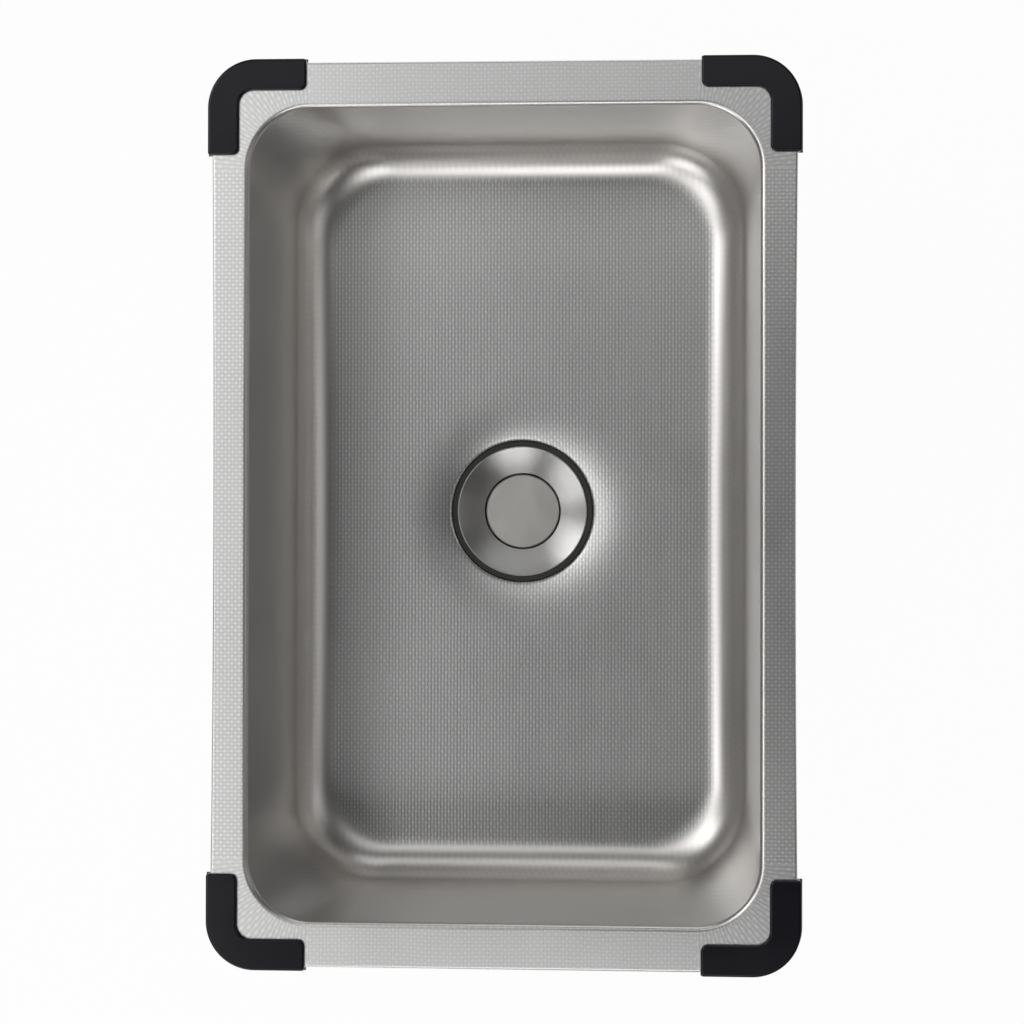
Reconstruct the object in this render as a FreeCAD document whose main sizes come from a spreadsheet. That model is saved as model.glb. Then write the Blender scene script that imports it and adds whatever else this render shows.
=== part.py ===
import FreeCAD, Part
import math
import os
import re

import Sketcher
from FreeCAD import Placement, Rotation, Vector

# A pressed stainless kitchen sink: one deep bowl in a flat flange with a turned-down edge, a moulded
# guard on each flange corner, and a push-button basket strainer waste at the middle of the floor.
# Origin: centre of the worktop cut-out, on the plane where the flange's edge stands. +Z is up and
# +Y runs along the bowl's long side. All lengths are in millimetres, all angles in degrees.

SIZES = {
    # flange
    "flange_w": 336.0,
    "flange_l": 518.0,
    "flange_corner_r": 26.0,
    "edge_bow": 1.3,
    "edge_drop": 4.0,
    "edge_round": 1.2,
    "sheet_t": 0.8,
    # bowl
    "flat_side": 21.5,
    "flat_end": 26.0,
    "mouth_corner_r": 36.0,
    "draft_side": 5.3,
    "draft_end": 1.75,
    "foot_corner_r": 30.0,
    "rim_round": 4.5,
    "bowl_depth": 150.0,
    "floor_round": 25.0,
    # dished drain hole with its turned-down collar
    "dip_w": 12.2,
    "dip_slope": 15.0,
    "dip_round": 40.0,
    "hole_r": 44.5,
    "lip_round": 2.5,
    "collar_depth": 11.0,
    # corner guards
    "guard_arm_x": 57.0,
    "guard_arm_y": 55.0,
    "guard_proud": 2.0,
    "guard_reach": 16.0,
    "guard_inner_r": 8.0,
    "guard_end_inner_r": 4.0,
    "guard_end_outer_r": 1.7,
    "guard_top_t": 2.0,
    "guard_floor_t": 1.6,
    "guard_top_round": 1.4,
    "guard_bead": 0.5,
    "guard_bead_height": 1.4,
    "guard_clear": 0.2,
    # studs under the floor, with their washers and nuts
    "stud_count": 3.0,
    "stud_out": 10.0,
    "stud_r": 2.5,
    "stud_length": 17.0,
    "stud_base_r": 4.5,
    "stud_base_t": 1.0,
    "washer_r": 5.5,
    "washer_t": 1.0,
    "nut_flats": 8.0,
    "nut_t": 4.0,
    "thread_clear": 0.1,
    # waste body and its gasket
    "gasket_clear": 0.3,
    "gasket_flat": 1.3,
    "gasket_tube_t": 2.6,
    "body_flange_lip": 2.0,
    "body_flange_depth": 6.0,
    "body_flange_t": 3.5,
    "body_wall": 2.8,
    "ear_r": 7.5,
    "throat_step": 1.3,
    "ledge_w": 2.4,
    "ledge_drop": 4.0,
    "well_draft": 2.3,
    "well_room": 8.0,
    "funnel_height": 12.0,
    "outlet_r": 23.9,
    "outlet_wall": 3.9,
    "outlet_length": 20.0,
    "gusset_count": 9.0,
    "gusset_t": 2.0,
    # strainer basket
    "basket_sheet": 0.6,
    "basket_clear": 0.4,
    "basket_inset": 1.0,
    "basket_draft": 4.3,
    "basket_depth": 46.0,
    "basket_round": 6.0,
    "seal_ring_t": 1.5,
    "slot_count": 20.0,
    "slot_w": 3.2,
    "slot_length": 14.0,
    "drain_dot_r": 1.6,
    "inner_dots": 10.0,
    "inner_dots_share": 0.38,
    "outer_dots": 15.0,
    "outer_dots_share": 0.86,
    # latch in the middle of the basket
    "sleeve_r": 11.6,
    "sleeve_wall": 1.8,
    "chamber_step": 1.2,
    "sleeve_gap": 3.0,
    "sleeve_length": 36.0,
    "sleeve_lid_t": 2.0,
    "sleeve_flange_w": 3.4,
    "sleeve_flange_t": 2.0,
    "sleeve_nut_t": 4.0,
    "sleeve_plug_t": 3.0,
    "lug_count": 4.0,
    "lug_w": 4.0,
    "cam_height": 4.0,
    "cam_tooth": 1.0,
    "cap_lift": 9.0,
    "run_clear": 0.08,
    "slide_clear": 0.3,
    # cap over the hole
    "cap_inset": 3.5,
    "cap_depth": 3.8,
    "cap_edge_t": 1.0,
    "cap_flat": 0.6,
    "cap_dish": 3.6,
    "cap_dish_r": 90.0,
    "cap_inner_t": 1.5,
    "cap_seal_w": 4.0,
    "cap_seal_t": 2.4,
    "cap_seal_lip": 0.3,
    "carrier_inset": 2.3,
    "carrier_t": 2.6,
    "carrier_wall": 2.2,
    "carrier_floor_t": 2.0,
    "carrier_rib_count": 8.0,
    "carrier_rib_t": 1.6,
    "button_room": 0.8,
    "cap_gap": 0.25,
    # stem, its clip and the button
    "guide_room": 2.6,
    "stem_bore_r": 2.6,
    "stem_head_w": 2.4,
    "stem_head_t": 1.5,
    "stem_collar_t": 1.5,
    "clip_w": 2.6,
    "clip_t": 1.0,
    "clip_groove": 0.9,
    "clip_mouth_turn": 45.0,
    "button_r": 23.05,
    "button_gap": 1.2,
    "button_rise": 0.9,
    "button_t": 2.6,
    "button_bevel": 0.7,
    "button_skirt": 4.6,
    "button_wall": 1.5,
    "button_boss_r": 6.0,
    "button_boss": 4.0,
    "button_travel": 3.0,
    "spindle_grip": 2.6,
    # springs
    "wire_r": 0.6,
    "button_spring_room": 2.6,
    "lift_spring_room": 2.4,
    "spring_clear": 0.15,
    "spring_turns": 4.0,
    # one overrun for all cuts, and how near an edge must lie to be picked
    "overrun": 5.0,
    "pick_near": 0.01,
}

# Sizes that follow from those above. The waste's levels are measured down from the bowl's floor.
FOLLOWING = {
    # bowl and drain hole
    "mouth_w": "(flange_w - 2 * flat_side)",
    "mouth_l": "(flange_l - 2 * flat_end)",
    "foot_w": "(mouth_w - 2 * draft_side)",
    "foot_l": "(mouth_l - 2 * draft_end)",
    "bowl_floor": "(edge_drop - bowl_depth)",
    "dip_r": "(hole_r + dip_w)",
    "collar_out_r": "(hole_r + sheet_t)",
    # gasket and waste body, outwards from the hole and down from the floor
    "gasket_r": "(dip_r + gasket_flat)",
    "socket_r": "(collar_out_r + 2 * gasket_clear + gasket_tube_t)",
    "body_flange_r": "(gasket_r + body_flange_lip)",
    "stud_circle_r": "(gasket_r + stud_out)",
    "throat_r": "(hole_r - throat_step)",
    "ledge_r": "(throat_r - ledge_w)",
    "well_foot_r": "(ledge_r - well_draft)",
    "outlet_bore_r": "(outlet_r - outlet_wall)",
    "ear_under": "(body_flange_depth + body_flange_t)",
    "ledge_depth": "(collar_depth + ledge_drop)",
    "well_depth": "(basket_depth + well_room)",
    "funnel_depth": "(well_depth + funnel_height)",
    # cap, from its rubber ring to the button's well
    "cap_r": "(hole_r - cap_inset)",
    "cap_seal_in_r": "(cap_r - cap_seal_w)",
    "cap_under_r": "(cap_seal_in_r + cap_flat)",
    "carrier_r": "(hole_r - carrier_inset)",
    "cap_inner": "(button_r + button_gap)",
    "cap_seal_top": "(cap_depth + cap_edge_t)",
    "carrier_top": "(cap_seal_top + cap_seal_t)",
    "cap_inner_top": "(cap_depth + cap_dish)",
    "cap_inner_under": "(cap_inner_top + cap_inner_t)",
    "button_top": "(cap_inner_top - button_rise)",
    "button_under": "(button_top + button_t)",
    "skirt_foot": "(button_under + button_skirt)",
    "button_well_depth": "(skirt_foot + button_travel + stem_head_t + button_room)",
    "carrier_under": "(button_well_depth + carrier_floor_t)",
    # basket and latch
    "basket_rim_r": "(throat_r - basket_clear)",
    "basket_wall_r": "(ledge_r - basket_inset)",
    "basket_foot_r": "(basket_wall_r - basket_draft)",
    "basket_rim": "(ledge_depth - seal_ring_t)",
    "sleeve_flange_r": "(sleeve_r + sleeve_flange_w)",
    "sleeve_bore_r": "(sleeve_r - sleeve_wall)",
    "guide_bore_r": "(sleeve_bore_r - chamber_step)",
    "dots_room": "(basket_foot_r - basket_round - sleeve_flange_r)",
    "inner_dots_r": "(sleeve_flange_r + inner_dots_share * dots_room)",
    "outer_dots_r": "(sleeve_flange_r + outer_dots_share * dots_room)",
    "sleeve_top_depth": "(carrier_under + sleeve_gap)",
    "sleeve_foot": "(sleeve_top_depth + sleeve_length)",
    "plug_top": "(sleeve_foot - sleeve_plug_t)",
    # stem, cam and springs
    "stem_r": "(guide_bore_r - guide_room)",
    "stem_head_r": "(stem_r + stem_head_w)",
    "clip_r": "(stem_r + clip_w)",
    "cam_top": "(sleeve_top_depth + sleeve_lid_t + cap_lift + cam_tooth + 2 * slide_clear)",
    "cam_under": "(cam_top + cam_height)",
    "stem_foot": "(cam_under + stem_collar_t)",
    "button_spring_r": "(stem_head_r + button_spring_room)",
    "lift_spring_r": "(sleeve_bore_r - lift_spring_room)",
}

doc = FreeCAD.newDocument("kitchen_sink")
sheet = doc.addObject("Spreadsheet::Sheet", "sizes")
for row, (alias, number) in enumerate(SIZES.items(), start=1):
    sheet.set(f"A{row}", alias)
    sheet.set(f"B{row}", str(number))
    sheet.setAlias(f"B{row}", alias)
doc.recompute()

CCW = 1
CW = -1
ORIGIN_POINT = (-1, 1)
FULL_TURN = 360
SIXTH_TURN = 60


def named(text):
    """Writes an expression's size names as references to the sheet."""
    def reference(word):
        name = word.group()
        if name in FOLLOWING:
            return named(FOLLOWING[name])
        return f"sizes.{name}" if name in SIZES else name

    return re.sub(r"[A-Za-z_]\w*", reference, text)


def value(text):
    """The number that an expression in size names gives."""
    return float(sheet.evalExpression(named(text)))


def new_body(name, level="0", several=False):
    """An empty body with its own label, its local zero lying at the given level."""
    body = doc.addObject("PartDesign::Body", name)
    body.Label = name
    body.AllowCompound = several
    body.setExpression(".Placement.Base.z", named(level))
    return body


def new_sketch(body, name, role, level="0"):
    """A sketch on one of the body's own origin planes, lifted off it by level."""
    sketch = body.newObject("Sketcher::SketchObject", f"{body.Name}_{name}")
    plane = [item for item in body.Origin.OriginFeatures if item.Role == role][0]
    sketch.AttachmentSupport = [(plane, "")]
    sketch.MapMode = "FlatFace"
    sketch.setExpression(".AttachmentOffset.Base.z", named(level))
    return sketch


def draw_loop(sketch, corners):
    """A closed outline through corners (x, y) or, where the edge that arrives is an arc,
    (x, y, radius, CCW or CW). Each corner and radius is bound to the sheet."""
    points = [Vector(value(corner[0]), value(corner[1]), 0) for corner in corners]
    edges = []
    for index, corner in enumerate(corners):
        start = points[index - 1]
        end = points[index]
        if len(corner) == 2:
            geometry = sketch.addGeometry(Part.LineSegment(start, end), False)
            edges.append((geometry, 1, 2))
            continue
        radius = value(corner[2])
        chord = end - start
        side = Vector(-chord.y, chord.x, 0).normalize() * corner[3]
        centre = start + chord * 0.5 + side * math.sqrt(max(radius ** 2 - chord.Length ** 2 / 4, 0))
        first, last = (start, end) if corner[3] == CCW else (end, start)
        angles = [math.atan2(point.y - centre.y, point.x - centre.x) for point in (first, last)]
        circle = Part.Circle(centre, Vector(0, 0, 1), radius)
        geometry = sketch.addGeometry(Part.ArcOfCircle(circle, *angles), False)
        edges.append((geometry, 1, 2) if corner[3] == CCW else (geometry, 2, 1))
        bind(sketch, Sketcher.Constraint("Radius", geometry, radius), corner[2])
    for index, corner in enumerate(corners):
        geometry, _, last = edges[index]
        following, first, _ = edges[(index + 1) % len(edges)]
        sketch.addConstraint(Sketcher.Constraint("Coincident", geometry, last, following, first))
        pin_point(sketch, geometry, last, points[index], corner)


def draw_circle(sketch, x, y, radius):
    """A full circle, its centre and radius bound to the sheet."""
    centre = Vector(value(x), value(y), 0)
    geometry = sketch.addGeometry(Part.Circle(centre, Vector(0, 0, 1), value(radius)), False)
    pin_point(sketch, geometry, 3, centre, (x, y))
    bind(sketch, Sketcher.Constraint("Radius", geometry, value(radius)), radius)


def pin_point(sketch, geometry, position, point, texts):
    """Holds one point of a sketch at its two coordinates."""
    across = Sketcher.Constraint("DistanceX", *ORIGIN_POINT, geometry, position, point.x)
    up = Sketcher.Constraint("DistanceY", *ORIGIN_POINT, geometry, position, point.y)
    bind(sketch, across, texts[0])
    bind(sketch, up, texts[1])


def bind(sketch, constraint, text):
    """Adds a constraint and ties its value to the sheet."""
    index = sketch.addConstraint(constraint)
    sketch.setExpression(f"Constraints[{index}]", named(text))


def outline(body, name, role, corners, level="0"):
    sketch = new_sketch(body, name, role, level)
    draw_loop(sketch, corners)
    return sketch


def disc(body, name, radius, x="0", y="0", level="0"):
    sketch = new_sketch(body, name, "XY_Plane", level)
    draw_circle(sketch, x, y, radius)
    return sketch


def pad(body, sketch, length):
    feature = body.newObject("PartDesign::Pad", f"{sketch.Name}_pad")
    feature.Profile = sketch
    feature.setExpression("Length", named(length))
    doc.recompute()
    return feature


def pocket(body, sketch, length, upward=False):
    """Cuts the sketch's outline away from its plane, and makes sure that something went."""
    before = body.Shape.Volume
    feature = body.newObject("PartDesign::Pocket", f"{sketch.Name}_pocket")
    feature.Profile = sketch
    feature.Reversed = upward
    feature.setExpression("Length", named(length))
    doc.recompute()
    if not feature.Shape.Volume < before:
        raise RuntimeError(f"{feature.Name} cuts nothing")
    return feature


def turned(body, name, corners):
    """A solid of revolution about the body's upright axis, from its half section."""
    sketch = outline(body, name, "XZ_Plane", corners)
    feature = body.newObject("PartDesign::Revolution", f"{sketch.Name}_turned")
    feature.Profile = sketch
    feature.ReferenceAxis = (sketch, ["V_Axis"])
    feature.Angle = FULL_TURN
    doc.recompute()
    return feature


def bored(body, name, corners):
    """A cut of revolution about the body's upright axis, from its half section."""
    before = body.Shape.Volume
    sketch = outline(body, name, "XZ_Plane", corners)
    feature = body.newObject("PartDesign::Groove", f"{sketch.Name}_bored")
    feature.Profile = sketch
    feature.ReferenceAxis = (sketch, ["V_Axis"])
    feature.Angle = FULL_TURN
    doc.recompute()
    if not feature.Shape.Volume < before:
        raise RuntimeError(f"{feature.Name} cuts nothing")
    return feature


def ring_of(body, features, count):
    """Repeats features evenly about the upright axis."""
    pattern = body.newObject("PartDesign::PolarPattern", f"{features[0].Name}_ring")
    pattern.Originals = features
    pattern.Axis = (features[0].Profile[0], ["N_Axis"]) if upright(features[0]) else (
        features[0].Profile[0], ["V_Axis"])
    pattern.Angle = FULL_TURN
    pattern.setExpression("Occurrences", named(count))
    body.Tip = pattern
    doc.recompute()
    return pattern


def upright(feature):
    """Whether the feature's sketch lies level, so that its normal is the upright axis."""
    normal = feature.Profile[0].Placement.Rotation.multVec(Vector(0, 0, 1))
    return abs(normal.z) > 0.5


def rounded(body, name, radius, wanted, kind="Fillet"):
    """A fillet or chamfer on every edge of the body so far that wanted picks."""
    base = body.Tip
    edges = [f"Edge{number}" for number, edge in enumerate(base.Shape.Edges, start=1) if wanted(edge)]
    if not edges:
        raise RuntimeError(f"{body.Name}_{name} finds no edge")
    feature = body.newObject(f"PartDesign::{kind}", f"{body.Name}_{name}")
    feature.Base = (base, edges)
    feature.setExpression("Radius" if kind == "Fillet" else "Size", named(radius))
    doc.recompute()
    return feature


def level_edge(edge, height):
    """Whether an edge lies flat at a height."""
    near = SIZES["pick_near"]
    return abs(edge.BoundBox.ZMin - height) < near and abs(edge.BoundBox.ZMax - height) < near


def reach(edge):
    """How far an edge's middle lies from the upright axis."""
    middle = edge.valueAt(edge.FirstParameter + (edge.LastParameter - edge.FirstParameter) / 2)
    return math.hypot(middle.x, middle.y)


def hoop(height, radius):
    """Picks the circular edge at a height whose radius is nearest the one given."""
    def wanted(edge):
        return level_edge(edge, height) and abs(reach(edge) - radius) < SIZES["pick_near"]
    return wanted


def rounded_rectangle(width, length, corner, bow=None):
    """Corners of a rectangle with round corners; bow draws the long sides inward at the middle."""
    x = f"({width}) / 2"
    y = f"({length}) / 2"
    long_side = ()
    if bow:
        long_side = (f"((({length}) - 2 * ({corner}))^2 / (8 * {bow}) + {bow} / 2)", CW)
    return [
        (x, f"-{y} + {corner}", corner, CCW),
        (x, f"{y} - {corner}", *long_side),
        (f"{x} - {corner}", y, corner, CCW),
        (f"-{x} + {corner}", y),
        (f"-{x}", f"{y} - {corner}", corner, CCW),
        (f"-{x}", f"-{y} + {corner}", *long_side),
        (f"-{x} + {corner}", f"-{y}", corner, CCW),
        (f"{x} - {corner}", f"-{y}"),
    ]


def press_form(name, gap, flange_foot, core_foot):
    """A solid whose upper side is the sheet's upper side (gap 0) or its underside (gap of one sheet)."""
    body = new_body(name)
    top = f"(edge_drop - {gap})"
    flange = rounded_rectangle(f"flange_w - 2 * {gap}", f"flange_l - 2 * {gap}",
                               f"(flange_corner_r - {gap})", "edge_bow")
    pad(body, outline(body, "flange", "XY_Plane", flange, flange_foot), f"{top} - {flange_foot}")
    if core_foot != flange_foot:
        core = rounded_rectangle("(flange_w + mouth_w) / 2", "(flange_l + mouth_l) / 2", "mouth_corner_r")
        pad(body, outline(body, "core", "XY_Plane", core, core_foot), f"{top} - {core_foot}")

    floor = f"(bowl_floor - {gap})"
    mouth = rounded_rectangle(f"mouth_w + 2 * {gap}", f"mouth_l + 2 * {gap}", f"(mouth_corner_r + {gap})")
    foot = rounded_rectangle(f"foot_w + 2 * {gap}", f"foot_l + 2 * {gap}", f"(foot_corner_r + {gap})")
    cavity = body.newObject("PartDesign::SubtractiveLoft", f"{name}_cavity")
    cavity.Profile = outline(body, "mouth", "XY_Plane", mouth, top)
    cavity.Sections = [outline(body, "floor", "XY_Plane", foot, floor)]
    cavity.Ruled = True
    doc.recompute()
    floor_z = value(floor)
    top_z = value(top)
    rounded(body, "floor_round", f"floor_round + {gap}", lambda edge: level_edge(edge, floor_z))

    dip = f"(dip_r + {gap} * tan(dip_slope / 2))"
    hole = f"(hole_r + {gap})"
    drop = f"({floor} - ({dip} - {hole}) * tan(dip_slope))"
    bored(body, "drain", [
        ("0", floor),
        ("0", f"{core_foot} - overrun"),
        (hole, f"{core_foot} - overrun"),
        (hole, drop),
        (dip, floor),
    ])
    rounded(body, "dip_round", f"dip_round - {gap}", hoop(floor_z, value(dip)))
    rounded(body, "lip_round", f"lip_round - {gap}", hoop(value(drop), value(hole)))

    inner_x = value("(mouth_w + flange_w) / 4")
    inner_y = value("(mouth_l + flange_l) / 4")

    def in_mouth(edge):
        box = edge.BoundBox
        return max(abs(box.XMin), abs(box.XMax)) < inner_x and max(abs(box.YMin), abs(box.YMax)) < inner_y

    rounded(body, "rim_round", f"rim_round - {gap}",
            lambda edge: level_edge(edge, top_z) and in_mouth(edge))
    rounded(body, "edge_round", f"edge_round - {gap}",
            lambda edge: level_edge(edge, top_z) and not in_mouth(edge))
    return body


def sink_bowl():
    """The pressed sheet: flange with turned-down edge, drafted bowl, dished and collared hole."""
    collar_foot = "(bowl_floor - collar_depth)"
    below = f"({collar_foot} - overrun)"
    sink = doc.addObject("Part::Cut", "sink_bowl")
    sink.Label = "sink_bowl"
    sink.Base = press_form("sink_upper_side", "0", "0", collar_foot)
    sink.Tool = press_form("sink_under_side", "sheet_t", below, below)
    doc.recompute()
    return sink


def guard_outline(along_x, along_y, proud):
    """Plan of an L-shaped guard round the flange corner at the local origin."""
    end_x = f"guard_proud - {along_x}"
    end_y = f"guard_proud - {along_y}"
    corner = f"(flange_corner_r + {proud})"
    return [
        ("-guard_reach", end_y),
        (proud, end_y),
        (proud, f"{proud} - {corner}"),
        (f"{proud} - {corner}", proud, corner, CCW),
        (end_x, proud),
        (end_x, "-guard_reach"),
        ("-guard_reach - guard_inner_r", "-guard_reach"),
        ("-guard_reach", "-guard_reach - guard_inner_r", "guard_inner_r", CW),
    ]


def corner_guard(name, side_x, side_y, along_x, along_y, turn):
    """A moulded channel pushed over one flange corner, turned about Z to face its corner."""
    body = new_body(name)
    body.Placement = Placement(Vector(0, 0, 0), Rotation(Vector(0, 0, 1), turn))
    body.setExpression(".Placement.Base.x", named(f"{side_x} * flange_w / 2"))
    body.setExpression(".Placement.Base.y", named(f"{side_y} * flange_l / 2"))
    under = "-(guard_clear + guard_floor_t)"
    top = "(edge_drop + guard_clear + guard_top_t)"
    pad(body, outline(body, "plan", "XY_Plane", guard_outline(along_x, along_y, "guard_proud"), under),
        f"{top} - {under}")
    pad(body, outline(body, "bead", "XY_Plane",
                      guard_outline(along_x, along_y, "(guard_proud + guard_bead)"), under),
        "guard_bead_height")
    far_x = f"guard_proud - {along_x} - overrun"
    far_y = f"guard_proud - {along_y} - overrun"
    slot_corner = "(flange_corner_r + guard_clear)"
    slot = [
        (far_x, far_y),
        ("guard_clear", far_y),
        ("guard_clear", f"guard_clear - {slot_corner}"),
        (f"guard_clear - {slot_corner}", "guard_clear", slot_corner, CCW),
        (far_x, "guard_clear"),
    ]
    pocket(body, outline(body, "slot", "XY_Plane", slot, "edge_drop + guard_clear"),
           "edge_drop + 2 * guard_clear")
    round_guard(body, value(top), along_x, along_y)
    return body


def round_guard(body, top_z, along_x, along_y):
    """Rounds a guard's arm ends in plan, then its whole top edge."""
    near = SIZES["pick_near"]
    end_x = value(f"guard_proud - {along_x}")
    end_y = value(f"guard_proud - {along_y}")
    inner = -value("guard_reach")
    outer = value("guard_proud")

    def at_arm_end(edge, across):
        box = edge.BoundBox
        if box.ZLength < near or box.XLength > near or box.YLength > near:
            return False
        x = (box.XMin + box.XMax) / 2
        y = (box.YMin + box.YMax) / 2
        at_first = abs(x - end_x) < near and abs(y - across) < near
        at_second = abs(y - end_y) < near and abs(x - across) < near
        return at_first or at_second

    rounded(body, "end_inner", "guard_end_inner_r", lambda edge: at_arm_end(edge, inner))
    rounded(body, "end_outer", "guard_end_outer_r", lambda edge: at_arm_end(edge, outer))

    rounded(body, "top", "guard_top_round", lambda edge: level_edge(edge, top_z))


def corner_guards():
    """Four guards: the two on each diagonal are alike, and all arms along X are equally long."""
    return [
        corner_guard("guard_back_right", "1", "1", "guard_arm_x", "guard_arm_y", 0),
        corner_guard("guard_back_left", "-1", "1", "guard_arm_y", "guard_arm_x", 90),
        corner_guard("guard_front_left", "-1", "-1", "guard_arm_x", "guard_arm_y", 180),
        corner_guard("guard_front_right", "1", "-1", "guard_arm_y", "guard_arm_x", 270),
    ]


def weld_studs():
    """Threaded studs welded on the underside of the floor, round the drain."""
    body = new_body("weld_studs", "bowl_floor", several=True)
    base = pad(body, disc(body, "base", "stud_base_r", "stud_circle_r", "0", "-sheet_t - stud_base_t"),
               "stud_base_t")
    shank = pad(body, disc(body, "shank", "stud_r", "stud_circle_r", "0",
                           "-sheet_t - stud_base_t - stud_length"), "stud_length")
    ring_of(body, [base, shank], "stud_count")
    return body


def stud_washers():
    """Plain washers between the waste body's ears and the nuts."""
    body = new_body("stud_washers", "bowl_floor", several=True)
    level = "-ear_under - washer_t"
    sketch = disc(body, "face", "washer_r", "stud_circle_r", "0", level)
    draw_circle(sketch, "stud_circle_r", "0", "stud_r + thread_clear")
    ring_of(body, [pad(body, sketch, "washer_t")], "stud_count")
    return body


def hexagon(flats, x="0"):
    """Corners of a hexagon across its flats, centred at x."""
    radius = f"({flats} / 2 / cos({SIXTH_TURN} / 2))"
    corners = []
    for turn in range(0, FULL_TURN, SIXTH_TURN):
        corners.append((f"{x} + {radius} * cos({turn})", f"{radius} * sin({turn})"))
    return corners


def stud_nuts():
    """Hexagon nuts that pull the waste body up against its gasket."""
    body = new_body("stud_nuts", "bowl_floor", several=True)
    level = "-ear_under - washer_t - nut_t"
    sketch = outline(body, "face", "XY_Plane", hexagon("nut_flats", "stud_circle_r"), level)
    draw_circle(sketch, "stud_circle_r", "0", "stud_r + thread_clear")
    ring_of(body, [pad(body, sketch, "nut_t")], "stud_count")
    return body


def dip_under(radius, gap):
    """Height of the sheet's underside, less a gap, at a radius on the dip's straight slope."""
    return f"(-(dip_r - {radius}) * tan(dip_slope) - (sheet_t + {gap}) / cos(dip_slope))"


def body_gasket():
    """A wedge-shaped rubber ring between the dished floor and the waste body, round the collar."""
    body = new_body("body_gasket", "bowl_floor")
    inner = "(collar_out_r + gasket_clear)"
    shoulder = "(dip_r - dip_round * tan(dip_slope / 2))"
    lip = "(hole_r + lip_round)"
    turned(body, "section", [
        (inner, "-collar_depth"),
        ("socket_r - gasket_clear", "-collar_depth"),
        ("socket_r - gasket_clear", "-body_flange_depth"),
        ("gasket_r", "-body_flange_depth"),
        ("gasket_r", "-(sheet_t + gasket_clear)"),
        (shoulder, dip_under(shoulder, "gasket_clear / 2")),
        (lip, dip_under(lip, "gasket_clear / 2")),
        (inner, f"{dip_under(lip, 'gasket_clear')} - lip_round"),
    ])
    return body


def waste_body():
    """The moulded well under the drain hole, with ears for the studs, gussets and a threaded outlet."""
    body = new_body("waste_body", "bowl_floor")
    well_out = "(ledge_r + body_wall)"
    foot_out = "(well_foot_r + body_wall)"
    socket_out = "(socket_r + body_wall)"
    ledge_out = "(throat_r + body_wall)"
    turned(body, "outside", [
        ("0", "-body_flange_depth"),
        ("0", "-funnel_depth - outlet_length"),
        ("outlet_r", "-funnel_depth - outlet_length"),
        ("outlet_r", "-funnel_depth"),
        (foot_out, "-well_depth"),
        (well_out, "-ledge_depth - body_wall"),
        (ledge_out, "-ledge_depth"),
        (socket_out, "-collar_depth - body_wall"),
        (socket_out, "-ear_under"),
        ("body_flange_r", "-ear_under"),
        ("body_flange_r", "-body_flange_depth"),
    ])
    ear = outline(body, "ear", "XY_Plane", [
        (well_out, "-ear_r"),
        ("stud_circle_r", "-ear_r"),
        ("stud_circle_r + ear_r", "0", "ear_r", CCW),
        ("stud_circle_r", "ear_r", "ear_r", CCW),
        (well_out, "ear_r"),
    ], "-ear_under")
    ring_of(body, [pad(body, ear, "body_flange_t")], "stud_count")
    web = outline(body, "gusset", "XZ_Plane", [
        (f"{foot_out} - body_wall / 2", "-ledge_depth - body_wall"),
        (f"{well_out} + body_wall", "-ledge_depth - body_wall"),
        ("body_flange_r - body_wall", "-ear_under"),
        (f"{foot_out} - body_wall / 2", "-ear_under"),
    ])
    gusset = pad(body, web, "gusset_t")
    gusset.Midplane = True
    ring_of(body, [gusset], "gusset_count")
    bored(body, "inside", [
        ("0", "-body_flange_depth + overrun"),
        ("0", "-funnel_depth - outlet_length - overrun"),
        ("outlet_bore_r", "-funnel_depth - outlet_length - overrun"),
        ("outlet_bore_r", "-funnel_depth"),
        ("well_foot_r", "-well_depth"),
        ("ledge_r", "-ledge_depth - body_wall"),
        ("ledge_r", "-ledge_depth"),
        ("throat_r", "-ledge_depth"),
        ("throat_r", "-collar_depth - gasket_clear"),
        ("socket_r", "-collar_depth - gasket_clear"),
        ("socket_r", "-body_flange_depth + overrun"),
    ])
    hole = disc(body, "ear_hole", "stud_r + slide_clear", "stud_circle_r", "0", "-body_flange_depth")
    ring_of(body, [pocket(body, hole, "body_flange_t + overrun")], "stud_count")
    return body


def basket_seal():
    """The rubber ring on the ledge that the basket's rim sits on."""
    body = new_body("basket_seal", "bowl_floor")
    turned(body, "section", [
        ("ledge_r + gasket_clear", "-ledge_depth"),
        ("throat_r - gasket_clear", "-ledge_depth"),
        ("throat_r - gasket_clear", "-basket_rim"),
        ("ledge_r + gasket_clear", "-basket_rim"),
    ])
    return body


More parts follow.
